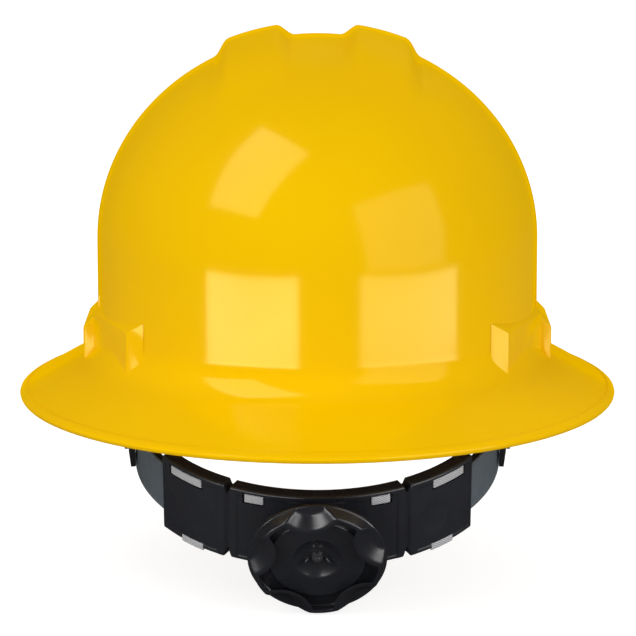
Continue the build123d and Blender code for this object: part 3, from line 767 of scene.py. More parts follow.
@dataclass
class Shell:
    """The yellow moulding: dome, brim, rolled lip, crown ridges, bosses and slots."""

    half_width: float = DOME_HALF_WIDTH
    length_share: float = 1.1527
    brim_reach: float = 36.5
    brim_rise: float = 21.0
    root_fillet: float = 18.0
    spring: float = 70.2
    cap: float = 92.6
    wall: float = 2.5
    lip_width: float = 4.0
    lip_thickness: float = 3.4
    ridge_feet: tuple[float, float] = (10.6, 47.6)
    ridge_tops: tuple[float, float] = (18.0, 38.2)
    ridge_height: float = 5.5
    ridge_half_length: float = 102.9
    around: int = 256
    boss_outline: tuple[tuple[float, float], ...] = ((76.5, 76.4), (84.4, 72.2), (102.2, 22.5), (86.0, 22.5))
    # heights at the outline's corners, and how far its outer corners lean in
    boss_levels: tuple[tuple[Vec4, float], ...] = (
        ((17.0, 17.0, 17.0, 17.0), 0.0), ((42.9, 38.0, 38.0, 38.0), 0.0), ((43.0, 43.0, 43.0, 43.0), 4.0),
    )
    side_boss_out: float = 5.7
    side_boss_inner: float = 96.0
    side_boss_half: float = 23.0
    side_boss_levels: Vec3 = (15.5, 32.0, 38.0)
    slot_half: float = 16.0
    rounding: float = 1.1
    corners: tuple[tuple[int, int], ...] = ((1, -1), (-1, -1), (1, 1), (-1, 1))

    def profile(self) -> tuple[np.ndarray, np.ndarray, np.ndarray]:
        """The section of the shell.

        Returns:
            The dome's outer line, the line round the brim, and the dome's inner line,
            as radius and height, in order from the outer pole to the inner one.
        """
        slope = math.atan2(self.brim_rise, self.brim_reach)
        edge = self.half_width + self.brim_reach
        half = self.lip_width / 2
        inner = self.half_width - self.wall
        inner_root = self.brim_rise + self.wall * (math.sin(slope) - 1) / math.cos(slope)
        middle = np.array(
            [
                edge - half * math.cos(slope) - self.wall / 2 * math.sin(slope),
                half * math.sin(slope) - self.wall / 2 * math.cos(slope),
            ]
        )

        def lip(out: float, up: float) -> tuple[float, float]:
            """A point of the lip's own section."""
            along = np.array([math.cos(slope), -math.sin(slope)])
            above = np.array([math.sin(slope), math.cos(slope)])
            return tuple(middle + out * along + up * above)

        skin, bead = self.wall / 2, self.lip_thickness / 2
        corners = [
            (self.half_width, self.spring),
            (self.half_width, self.brim_rise),
            lip(-half - 0.5, skin),
            lip(-half - 0.1, bead),
            lip(half, bead),
            lip(half, -bead),
            lip(-half - 0.1, -bead),
            lip(-half - 0.5, -skin),
            (inner, inner_root),
            (inner, self.spring),
        ]
        radii = [self.root_fillet, 0.25, 0.25, 1.5, 1.5, 0.25, 0.25, self.root_fillet + self.wall]
        brim = rounded_line(corners, radii, 2.2)
        turns = np.concatenate([np.linspace(0, 48, 56), np.linspace(48, 90, 22)[1:]])
        angles = np.radians(turns)
        outer = np.stack([self.half_width * np.sin(angles), self.spring + self.cap * np.cos(angles)], 1)
        turns = np.radians(np.linspace(90, 0, 52))
        inside = np.stack([inner * np.sin(turns), self.spring + (self.cap - self.wall) * np.cos(turns)], 1)
        return outer, brim[1:-1], inside

    def raise_ridges(self, points: np.ndarray, shrink: float) -> np.ndarray:
        """Lifts the dome where the two ridges run.

        Args:
            points: Points of the dome in millimetres.
            shrink: How far inside the outer surface they are.

        Returns:
            The lifted points.
        """
        centre = np.array([0, 0, self.spring])
        way = points - centre
        half = self.half_width - shrink
        dome = np.array([half, half * self.length_share, self.cap - shrink])
        crest = np.array(
            [
                self.half_width + self.ridge_height - shrink,
                self.ridge_half_length - shrink,
                self.cap + self.ridge_height - shrink,
            ]
        )
        on_dome = np.sqrt(((way / dome) ** 2).sum(-1))
        on_crest = np.sqrt(((way / crest) ** 2).sum(-1))
        reach = np.linalg.norm(way, axis=-1)
        to_crest, to_dome = (reach / np.maximum(scale, 1e-6) for scale in (on_crest, on_dome))
        gap = np.where(way[..., 2] > 1, to_crest - to_dome, -9.0)
        lift = (gap + np.sqrt(gap * gap + 0.36)) / 2 * (gap > -4)
        x = np.abs(points[..., 0])
        feet = (self.ridge_feet[0] + shrink, self.ridge_feet[1] - shrink)
        tops = (self.ridge_tops[0] + shrink, self.ridge_tops[1] - shrink)
        mask = smooth_step(x, feet[0], tops[0]) * (1 - smooth_step(x, tops[1], feet[1]))
        outward = way / np.maximum(reach, 1e-6)[..., None]
        return points + outward * (lift * mask)[..., None]

    def skin(self) -> Object:
        """The dome and brim as one closed wall.

        Returns:
            The object.
        """
        outer, brim, inside = self.profile()
        turns = np.linspace(0, 2 * math.pi, self.around, endpoint=False)
        circle = np.stack([np.cos(turns), np.sin(turns) * self.length_share], 1)

        def spin(line: np.ndarray) -> np.ndarray:
            """The rings that a line sweeps."""
            flat = line[:, None, 0, None] * circle[None]
            return np.concatenate([flat, np.broadcast_to(line[:, None, 1, None], (*flat.shape[:2], 1))], 2)

        rings = np.concatenate(
            [self.raise_ridges(spin(outer), 0.0), spin(brim), self.raise_ridges(spin(inside), self.wall)]
        )
        return rings_object("shell_moulding", rings)

    def pocket(self, side: int, end: int) -> Place:
        """The frame of one corner pocket, with its Y pointing outwards."""
        turn = math.radians(POCKET_FACING)
        outward = np.array([side * math.cos(turn), end * math.sin(turn), 0.0])
        along = np.array([outward[1], -outward[0], 0.0])
        origin = outward * POCKET_SEAT - along * side * end * POCKET_SLIDE_SHARE * self.half_width
        return Place(tuple(origin), tuple(along), tuple(outward), (0, 0, 1))

    def bosses(self) -> list[Object]:
        """The raised blocks at the corners and the sides, with rounded edges.

        Returns:
            The solids, before they are joined to the dome.
        """
        made = []
        for index, (side, end) in enumerate(self.corners):
            outlines = []
            # the bevelled end rises to the dome, and the long face leans in above its shoulder
            for levels, sink in self.boss_levels:
                corners = [
                    (side * (x - sink * (i in (1, 2))), end * (y - sink * (i == 1)), levels[i])
                    for i, (x, y) in enumerate(self.boss_outline)
                ]
                outlines.append(np.array(corners))
            boss = levels_object(f"corner_boss_{index}", outlines)
            made.append(soften(boss, self.rounding, 3, 12))
        face, inner, half = self.half_width + self.side_boss_out, self.side_boss_inner, self.side_boss_half
        low, shoulder, high = self.side_boss_levels
        section = [(inner, low), (face, low), (face, shoulder), (face - high + shoulder, high), (inner, high)]
        for side in (1, -1):
            outlines = [np.array([(side * x, y, z) for x, z in section]) for y in (-half, half)]
            made.append(soften(levels_object(f"side_boss_{side}", outlines), self.rounding, 3, 12))
        return made

    def build(self) -> Object:
        """Makes the whole shell.

        Returns:
            The shell.
        """
        shell = self.skin()
        combine(shell, self.bosses(), "UNION")
        # the bosses fill the wall from inside, so the dome's hollow is cut again
        brim = self.profile()[1]
        under = brim[len(brim) // 2 :]
        under = under[(under[:, 0] < 116) & (under[:, 1] < 54)]
        turns = np.linspace(0, 2 * math.pi, self.around, endpoint=False)
        circle = np.stack([np.cos(turns), np.sin(turns) * self.length_share], 1)
        rings = [np.array([(0.0, 0.0, under[0][1])] * self.around)]
        rings += [np.column_stack([circle * (r - 0.02), np.full(self.around, z)]) for r, z in under]
        rings += [np.array([(0.0, 0.0, under[-1][1])] * self.around)]
        combine(shell, [rings_object("hollow", np.array(rings))], "DIFFERENCE")
        walls, cuts = [], []
        for side, end in self.corners:
            place = self.pocket(side, end)
            walls.append(block("pocket_wall", place, (34.0, 3.45, 24.5), (-17.0, -3.45, 17.0)))
            cuts.append(block("pocket_slot", place, (26.0, 2.9, 25.5), (-13.0, -1.45, 12.0)))
        square = Place((0, 0, 0), (1, 0, 0), (0, 1, 0), (0, 0, 1))
        half, low, slot = self.side_boss_half, self.side_boss_levels[0], self.slot_half
        for wall, cut in ((97.2, 99.6), (-99.6, -104.3)):
            walls.append(block("slot_wall", square, (2.4, 2 * half, 30.5), (wall, -half, low)))
            cuts.append(block("side_slot", square, (4.7, 2 * slot, 20.0), (cut, -slot, low - 5)))
        combine(shell, walls, "UNION")
        combine(shell, cuts, "DIFFERENCE")
        shade(shell, 30)
        return shell


# ---------------------------------------------------------------- the knob


@dataclass
class Knob:
    """The ratchet knob: a round flange, five hollow lobes and a central well."""

    flange_radius: float = 30.3
    flange_back: float = 10.4
    flange_front: float = 12.4
    front: float = 17.2
    front_radius: float = 28.1
    wall: float = 2.0
    lobes: int = 5
    first_scallop: float = 96.0
    scallop_distance: float = 34.0
    reach_back: float = 26.3
    reach_front: float = 20.2
    disc_radius: float = 21.3
    disc_rise: float = 0.7
    well_radius: float = 10.6
    well_bottom: float = 5.5
    hub_back: float = 9.0
    around: int = 360

    def outline(self, level: float, inset: float) -> np.ndarray:
        """The lobed wall's radius all round.

        Args:
            level: The height along the knob's axis.
            inset: How far inside the outer face.

        Returns:
            One radius for each direction.
        """
        share = (level - self.flange_front) / (self.front - self.flange_front)
        rim = self.flange_radius - 0.5 + (self.front_radius - self.flange_radius + 0.5) * share - inset
        reach = self.reach_back + (self.reach_front - self.reach_back) * share
        circle = self.scallop_distance - reach + inset
        turns = np.degrees(np.linspace(0, 2 * math.pi, self.around, endpoint=False))
        step = 360 / self.lobes
        off = np.radians((turns - self.first_scallop + step / 2) % step - step / 2)
        limit = math.asin(min(0.99, circle / self.scallop_distance))
        inside = np.clip(off, -limit, limit)
        root = np.sqrt(np.maximum(circle**2 - (self.scallop_distance * np.sin(inside)) ** 2, 0))
        hollow = self.scallop_distance * np.cos(inside) - root + (np.abs(off) - np.abs(inside)) * 60
        return soft_min(np.full(self.around, rim), hollow, 1.4)

    def rings(self) -> np.ndarray:
        """The knob's surface as rings from its back to its front.

        Returns:
            An array of rings in the knob's frame.
        """
        turns = np.linspace(0, 2 * math.pi, self.around, endpoint=False)
        circle = np.stack([np.cos(turns), np.sin(turns)], 1)
        rings: list[np.ndarray] = []

        def ring(radius: float | np.ndarray, level: float) -> None:
            """Adds one ring."""
            rings.append(np.column_stack([circle * np.reshape(radius, (-1, 1)), np.full(self.around, level)]))

        for radius, level in (
            (0.0, self.hub_back),
            (8.6, self.hub_back),
            (9.0, self.hub_back + 0.3),
            (9.2, self.flange_back),
            (self.flange_radius - 0.7, self.flange_back),
            (self.flange_radius - 0.2, self.flange_back + 0.2),
            (self.flange_radius, self.flange_back + 0.6),
            (self.flange_radius, self.flange_front - 0.6),
            (self.flange_radius - 0.15, self.flange_front - 0.2),
            (self.flange_radius - 0.45, self.flange_front),
        ):
            ring(radius, level)
        base = self.flange_front + 0.02
        ring(np.minimum(self.outline(base, 0.0) + 0.5, self.flange_radius - 0.46), base)
        for level in np.linspace(base + 0.45, self.front - 0.6, 9):
            ring(self.outline(level, 0.0), level)
        for inset, drop in ((0.08, 0.3), (0.3, 0.08), (0.65, 0.0), (1.35, 0.0), (1.7, 0.08), (1.92, 0.3)):
            ring(self.outline(self.front - drop, inset), self.front - drop)
        for level in np.linspace(self.front - 0.6, base + 0.5, 9):
            ring(self.outline(level, self.wall), level)
        ring(self.outline(base, self.wall) - 0.5, base)
        for radius, level in (
            (self.disc_radius + 0.35, base),
            (self.disc_radius + 0.05, base + 0.25),
            (self.disc_radius - 0.1, base + self.disc_rise - 0.1),
            (self.disc_radius - 0.5, base + self.disc_rise + 0.12),
            (self.disc_radius - 1.1, base + self.disc_rise),
            (17.0, base + self.disc_rise - 0.15),
            (13.5, base + self.disc_rise - 0.15),
            (self.well_radius + 0.7, base + self.disc_rise),
            (self.well_radius + 0.2, base + self.disc_rise - 0.1),
            (self.well_radius - 0.3, base + self.disc_rise - 0.6),
            (8.0, base - 1.1),
            (self.well_bottom, self.hub_back + 0.8),
            (3.5, self.hub_back + 0.8),
            (3.2, self.hub_back + 1.0),
            (3.15, self.hub_back + 1.5),
            (2.9, self.hub_back + 1.65),
            (0.0, self.hub_back + 1.65),
        ):
            ring(radius, level)
        return np.array(rings)

    def spokes(self) -> list[Object]:
        """The three ribs of the well.

        Returns:
            The ribs, with rounded edges.
        """
        made = []
        for index in range(3):
            turn = math.radians(90 + index * 120)
            out = np.array([math.cos(turn), math.sin(turn)])
            beside = np.array([-out[1], out[0]])
            outlines = []
            for level, reach, half in ((9.2, 6.4, 1.0), (10.7, 7.4, 0.85), (12.2, 9.4, 0.7)):
                start = 2.7 + (level - 9.2) * (1.1 if index else 0.9)
                spots = [out * start - beside * half, out * reach - beside * half]
                spots += [out * reach + beside * half, out * start + beside * half]
                outlines.append(KNOB_PLACE.world(np.array([(*spot, level) for spot in spots])))
            made.append(soften(levels_object(f"spoke_{index}", outlines), 0.25, 2, 20))
        return made

    def build(self) -> Object:
        """Makes the knob.

        Returns:
            The knob.
        """
        knob = rings_object("knob_moulding", KNOB_PLACE.world(self.rings()))
        combine(knob, self.spokes(), "UNION")
        shade(knob, 40)
        return knob


# ---------------------------------------------------------------- the nape


@dataclass
class NapeCover:
    """The black moulding round the nape: a channel, two wings on living hinges and a boss."""

    wing_turn: float = 54.8
    hinge_turn: float = 28.2
    outer: float = 83.8
    inner: float = 81.3
    back: float = 76.9
    wing_levels: tuple[float, float] = (-13.4, 23.7)
    centre_levels: tuple[float, float] = (-12.8, 23.5)
    channel: tuple[float, float] = (-8.6, 18.8)
    notch: float = 4.0
    groove: float = 0.9
    recess: float = 0.45
    flange_band: float = 2.6
    edge: float = 1.2
    boss_radius: float = 21.0
    boss_front: float = 9.8
    pocket_radius: float = 15.2
    pocket_floor: float = 4.6
    windows: tuple[Vec3, ...] = ((37.5, 50.5, 23.7), (16.3, 22.4, 23.5))
    window_height: float = 4.2
    window_drop: float = 2.2
    window_depth: float = 1.5
    window_gap: float = 0.5
    low_window: Vec3 = (37.0, 46.0, 2.6)
    bearing_radius: float = 3.56
    pinion_room: float = 6.6
    around: int = 128

    def relief(self, turn: float, levels: np.ndarray, low: float, high: float) -> np.ndarray:
        """How far the outer face stands in from its plain radius.

        Args:
            turn: Degrees from the nape.
            levels: Heights up the ring's axis.
            low: The lower edge here.
            high: The upper edge here.

        Returns:
            The depth at each height, in millimetres.
        """
        side = abs(turn)
        arc = (side - self.hinge_turn) * math.radians(1) * self.outer
        away = abs(arc)
        along = min(1.0, max(0.0, (away - 4.6) / 0.9))
        if side > self.hinge_turn:
            along *= min(1.0, max(0.0, ((self.wing_turn - side) * math.radians(1) * self.outer - 1.4) / 0.9))
        band = smooth_step(high - levels, self.flange_band, self.flange_band + 1.2)
        lip = 1 - smooth_step(levels - low, 1.6, 2.6) * 1.0
        depth = self.recess * along * band * (1 - 0.8 * lip)
        depth = depth + self.groove * math.exp(-((arc / 1.0) ** 2))
        if side > self.hinge_turn:
            across, up = (side - 38.6) / 4.6, (levels - 3.0) / 7.5
            far = across * across + up * up
            depth = depth + 0.4 * (1 - smooth_step(far, 0.75, 1.15))
        return depth

    def section(self, turn: float) -> list[tuple[float, float]]:
        """The channel's section at a place round the ring.

        Args:
            turn: Degrees from the nape.

        Returns:
            A closed line of radius and height.
        """
        share = float(smooth_step(np.array(abs(turn)), self.hinge_turn - 0.5, self.hinge_turn + 0.5))
        low = self.centre_levels[0] + (self.wing_levels[0] - self.centre_levels[0]) * share
        high = self.centre_levels[1] + (self.wing_levels[1] - self.centre_levels[1]) * share
        arc = abs(abs(turn) - self.hinge_turn) * math.radians(1) * self.outer
        cut = max(0.0, self.notch - math.sqrt(4 * arc * arc + 0.3) + 0.5 * math.exp(-arc))
        low, high = min(low + cut, self.channel[0] - 0.2), max(high - cut, self.channel[1] + 0.4)
        end = (self.wing_turn - abs(turn)) * math.radians(1) * self.outer
        round_end = 0.7 * (1 - math.sqrt(max(0.0, 1 - max(0.0, 1 - end / 0.7) ** 2)))
        face = np.concatenate([
            np.linspace(low + self.edge, low + 4, 8)[:-1],
            np.linspace(low + 4, high - 6, 16)[:-1],
            np.linspace(high - 6, high - self.edge, 14),
        ])
        depth = self.relief(turn, face, low, high) + round_end
        line = [(self.outer - d, level) for d, level in zip(depth, face)]
        bend = np.radians(np.array([18, 36, 54, 72, 90]))
        drops = [(self.edge * (1 - math.cos(a)), self.edge * (1 - math.sin(a))) for a in bend]
        tops = [(self.outer - depth[-1] - inward, high - down) for inward, down in drops]
        lows = [(self.outer - depth[0] - inward, low + down) for inward, down in reversed(drops)]
        roof = [(self.back + 0.4, high), (self.back, high - 0.4), (self.back, self.channel[1])]
        channel = [(self.inner, self.channel[1]), (self.inner, self.channel[0])]
        heel = low + min(0.4, self.channel[0] - low - 0.05)
        floor = [(self.back, self.channel[0]), (self.back, heel), (self.back + 0.4, low)]
        return line + tops + roof + channel + floor + lows

    def sweep(self, name: str, sections: list[tuple[float, Points]]) -> Object:
        """A solid round the ring.

        Args:
            name: The object's name.
            sections: Degrees from the nape, and the radii and heights of the section there.

        Returns:
            The object.
        """
        spots = [[RING.at(turn, r - RING.back_radius, z) for r, z in line] for turn, line in sections]
        return swept_object(name, RING.place.world(np.array(spots)))

    def sector(
        self, name: str, turns: tuple[float, float], radii: tuple[float, float], levels: tuple[float, float]
    ) -> Object:
        """A block bent round the ring.

        Args:
            name: The object's name.
            turns: Where it starts and ends, in degrees from the nape.
            radii: Its inner and outer radius.
            levels: Its lower and upper height.

        Returns:
            The block.
        """
        corners = [(radii[0], levels[0]), (radii[1], levels[0]), (radii[1], levels[1]), (radii[0], levels[1])]
        count = max(6, int(abs(turns[1] - turns[0])))
        return self.sweep(name, [(turn, corners) for turn in np.linspace(*turns, count)])

    def disc(self, name: str, line: Points) -> Object:
        """A round solid on the knob's axis, from a line of radius and height."""
        turns = np.linspace(0, 2 * math.pi, self.around, endpoint=False)
        circle = np.stack([np.cos(turns), np.sin(turns)], 1)
        rings = [np.column_stack([circle * r, np.full(self.around, level)]) for r, level in line]
        return rings_object(name, KNOB_PLACE.world(np.array(rings)))

    def build(self) -> Object:
        """Makes the moulding.

        Returns:
            The moulding.
        """
        hinge = self.hinge_turn
        near = np.linspace(hinge - 5, hinge + 5, 61)
        right = np.unique(np.round(np.concatenate([
            np.arange(0, hinge - 5, 0.8), near, np.arange(hinge + 5.4, self.wing_turn - 2, 0.55),
            np.linspace(self.wing_turn - 2, self.wing_turn, 12),
        ]), 4))
        turns = np.concatenate([-right[::-1], right[1:]])
        cover = self.sweep("nape_cover_moulding", [(turn, self.section(turn)) for turn in turns])
        top = self.boss_front
        radius = self.boss_radius
        shoulder = [(radius, top - 0.8), (radius - 0.25, top - 0.25), (radius - 0.8, top)]
        line = [(0, -4), (radius, -4), *shoulder, (0, top)]
        boss = self.disc("boss", line)
        hollows = [
            self.sector("hollow_channel", (-40, 40), (50, self.inner - 0.02), self.channel),
            self.sector("hollow_back", (-40, 40), (50, self.back + 0.02), (-40, 50)),
        ]
        combine(boss, hollows, "DIFFERENCE")
        combine(cover, [boss], "UNION")
        cuts = [
            self.disc(name, [(0, low), (radius, low), (radius, high), (0, high)])
            for name, radius, low, high in (
                ("pocket", self.pocket_radius, self.pocket_floor, 30),
                ("bearing", self.bearing_radius, -9, 12),
                ("pinion_room", self.pinion_room, -9, 1.8),
            )
        ]
        deep = (self.outer - self.window_depth, self.outer + 5)
        for side in (1, -1):
            for start, end, edge in self.windows:
                high = edge - self.window_drop
                gap = self.window_gap
                turns = (side * (start - gap), side * (end + gap))
                cuts.append(self.sector("window", turns, deep, (high - self.window_height - gap, high + gap)))
            start, end, rise = self.low_window
            low = self.wing_levels[0]
            cuts.append(self.sector("low_window", (side * start, side * end), deep, (low - 5, low + rise)))
        combine(cover, cuts, "DIFFERENCE")
        shade(cover, 38)
        return cover


# ---------------------------------------------------------------- bands, straps and pads


@dataclass
class Bands:
    """What follows the ring: the headband, the brow pad and the nape pad."""

    wing_angle: float = 55.0
    band_in: float = 1.3
    band_out: float = 2.9
    band_top: float = 18.5
    band_bottom: float = -5.0
    step: float = 3.0

    def sweep(
        self, name: str, line: list[Vec4], section: Points, ease: float = 0.0
    ) -> Object:
        """A solid whose section follows the ring.

        Args:
            name: The object's name.
            line: Points and outward normals in the ring's plane.
            section: Distances outside the racks' middle line, and heights.
            ease: How far from each end the section narrows, in millimetres.

        Returns:
            The object.
        """
        shape = np.array(section)
        middle = shape.mean(0)
        runs = np.array([(x, y) for x, y, _, _ in line])
        travel = np.concatenate([[0], np.cumsum(np.linalg.norm(np.diff(runs, axis=0), axis=1))])
        sections = []
        for (x, y, nx, ny), gone in zip(line, travel):
            near = min(gone, travel[-1] - gone)
            share = 1.0
            if ease > 0 and near < ease:
                share = 0.35 + 0.65 * math.sqrt(max(0.0, 1 - (1 - near / ease) ** 2))
            here = middle + (shape - middle) * share
            sections.append([(x + nx * out, y + ny * out, level) for out, level in here])
        place = RING.place
        return swept_object(name, place.world(np.array(sections)))

    def headband(self) -> Object:
        """The band from wing to wing, with a hem along both edges.

        Returns:
            The headband.
        """
        out, low, high, inner = self.band_out, self.band_bottom, self.band_top, self.band_in
        # depths below the outer face, and distances from the edge, across one hem
        hem = ((0.0, 2.3), (0.14, 2.5), (0.34, 2.8), (0.34, 3.1), (0.2, 3.4), (0.12, 3.8))
        section = [(inner, low + 0.4), (inner + 0.35, low), (out - 0.35, low), (out, low + 0.4)]
        section += [(out - depth, low + away) for depth, away in hem]
        section += [(out - depth, high - away) for depth, away in reversed(hem)]
        section += [(out, high - 0.4), (out - 0.35, high), (inner + 0.35, high), (inner, high - 0.4)]
        band = self.sweep("headband_strip", RING.round_brow(self.wing_angle, self.step), section)
        shade(band, 50)
        return band

    def brow_pad(self) -> Object:
        """The sweatband inside the brow, a crowned strip of terry cloth.

        Returns:
            The pad.
        """
        line = [p for p in RING.round_brow(self.wing_angle, 2.0) if p[1] > 11.0]
        section = []
        for turn in np.linspace(0, 2 * math.pi, 36, endpoint=False):
            c, s = math.cos(turn), math.sin(turn)
            flat = abs(c) ** 0.55 * math.copysign(1, c)
            tall = abs(s) ** 0.8 * math.copysign(1, s)
            out = -1.5 + (2.4 if flat > 0 else 2.5) * flat
            section.append((out, 4.25 + 13.2 * tall))
        pad = self.sweep("brow_pad_sewn", line, section, 9.0)
        shade(pad, 60)
        return pad

    def nape_pad(self) -> Object:
        """The foam pad inside the nape, quilted in three panels.

        Returns:
            The pad.
        """
        line, count = [], 96
        for turn in np.linspace(-50.8, 50.8, count):
            angle = math.radians(turn)
            normal = (math.sin(angle), -math.cos(angle))
            line.append(
                (normal[0] * RING.back_radius, RING.back_centre + normal[1] * RING.back_radius, *normal)
            )
        sections = []
        for index, (x, y, nx, ny) in enumerate(line):
            turn = -50.8 + 101.6 * index / (count - 1)
            seam = min(abs(turn - 17), abs(turn + 17)) / 2.2
            puff = 1 - 0.55 * math.exp(-seam * seam)
            near = min(turn + 50.8, 50.8 - turn) / 5.0
            end = 0.35 + 0.65 * math.sqrt(max(0.0, 1 - (1 - min(1.0, near)) ** 2))
            ring = []
            for spot in np.linspace(0, 2 * math.pi, 32, endpoint=False):
                c, s = math.cos(spot), math.sin(spot)
                flat = abs(c) ** 0.6 * math.copysign(1, c)
                tall = abs(s) ** 0.8 * math.copysign(1, s)
                out = -4.6 + (1.1 if flat > 0 else 4.7 * puff) * flat * end
                level = 4.0 + 15.9 * tall * (0.9 + 0.1 * end)
                ring.append((x + nx * out, y + ny * out, level))
            sections.append(ring)
        pad = swept_object("nape_pad_sewn", RING.place.world(np.array(sections)))
        shade(pad, 60)
        return pad


@dataclass
class Straps:
    """The two crossed webbing straps and the patch sewn over the crossing."""

    reach: float = 94.0
    spring: float = 28.0
    end: float = 3.0
    width: float = 20.0
    thickness: float = 1.4
    lift: float = 2.5
    heading: float = 0.0

    def __post_init__(self) -> None:
        """Works out which way the straps run."""
        turn, along = math.radians(POCKET_FACING), POCKET_SLIDE_SHARE * DOME_HALF_WIDTH
        x = POCKET_SEAT * math.cos(turn) - along * math.sin(turn)
        y = POCKET_SEAT * math.sin(turn) + along * math.cos(turn)
        self.heading = math.atan2(y, x)

    def strap(self, name: str, heading: float, lift: float) -> Object:
        """One strap over the crown, with a map of its cloth in millimetres.

        Args:
            name: The object's name.
            heading: Its direction from the wearer's right, in radians.
            lift: How far it is raised over the other strap.

        Returns:
            The strap.
        """
        spring = self.spring + lift
        path: list[Vec4] = []
        for level in np.linspace(self.end, spring, 8)[:-1]:
            path.append((-self.reach, level, -1.0, 0.0))
        for turn in np.linspace(math.pi, 0, 90):
            c, s = math.cos(turn), math.sin(turn)
            path.append((self.reach * c, spring + self.reach * s, c, s))
        for level in np.linspace(spring, self.end, 8)[1:]:
            path.append((self.reach, level, 1.0, 0.0))
        half, skin = self.width / 2, self.thickness / 2
        # the selvedges thin out over their last 1.4 mm, and the middle is a little lower than they are
        right = [half / 2, half - 1.4, half - 0.5, half - 0.05]
        across = [-a for a in reversed(right)] + [0.0] + right
        heights = [0.35, 0.75, 1.0, 0.92, 0.92, 0.92, 1.0, 0.75, 0.35]
        section = [(a, h * skin) for a, h in zip(across, heights)]
        section += [(a, -h * skin) for a, h in zip(reversed(across), reversed(heights))]
        ahead = np.array([math.cos(heading), math.sin(heading), 0.0])
        beside = np.array([-math.sin(heading), math.cos(heading), 0.0])
        up = np.array([0.0, 0.0, 1.0])
        points, cloth, travel, last = [], [], 0.0, None
        for p, z, nx, nz in path:
            here = ahead * p + up * z
            travel += 0.0 if last is None else float(np.linalg.norm(here - last))
            last = here
            for a, t in section:
                points.append(here + beside * a + (ahead * nx + up * nz) * t)
                cloth.append((a, travel))
        strap = swept_object(name, np.array(points).reshape(len(path), len(section), 3))
        smooth_uv(strap, np.array(cloth))
        shade(strap, 50)
        return strap

    def seam(self, heading: float, corners: Points) -> np.ndarray:
        """A line of stitches on a strap's inner face.

        Args:
            heading: The strap's direction from the wearer's right, in radians.
            corners: Places across the strap and along it from the crown, in millimetres.

        Returns:
            The line's points.
        """
        radius = self.reach - self.thickness / 2
        quarter = self.reach * math.pi / 2
        ahead = np.array([math.cos(heading), math.sin(heading), 0.0])
        beside = np.array([-math.sin(heading), math.cos(heading), 0.0])
        points = []
        for (a, b), (c, d) in zip(corners, corners[1:]):
            count = max(2, int(math.hypot(c - a, d - b)))
            for share in np.linspace(0, 1, count):
                across, along = a + (c - a) * share, b + (d - b) * share
                turn = max(-math.pi / 2, min(math.pi / 2, along / self.reach))
                drop = max(0.0, abs(along) - quarter)
                place = ahead * radius * math.sin(turn) + beside * across
                points.append(place + np.array([0.0, 0.0, self.spring + radius * math.cos(turn) - drop]))
        return np.array(points)

    def patch(self) -> Object:
        """The square of webbing over the crossing.

        Returns:
            The patch, with its map in millimetres.
        """
        base = self.spring + self.lift + self.reach + self.thickness / 2 + 0.1
        outline = rounded_line(
            [(0, -12), (12, -12), (12, 12), (-12, 12), (-12, -12), (0, -12)], [1.6, 1.6, 1.6, 1.6], 1.0
        )[:-1]
        outlines = []
        for level, share in ((0.0, 0.96), (0.15, 1.0), (0.95, 1.0), (1.2, 0.95)):
            outlines.append(np.column_stack([outline * share, np.full(len(outline), base + level)]))
        made = levels_object("crown_patch_sewn", outlines)
        spots = np.array([v.co for v in made.data.vertices])[:, :2] / MM
        smooth_uv(made, spots)
        shade(made, 30)
        return made


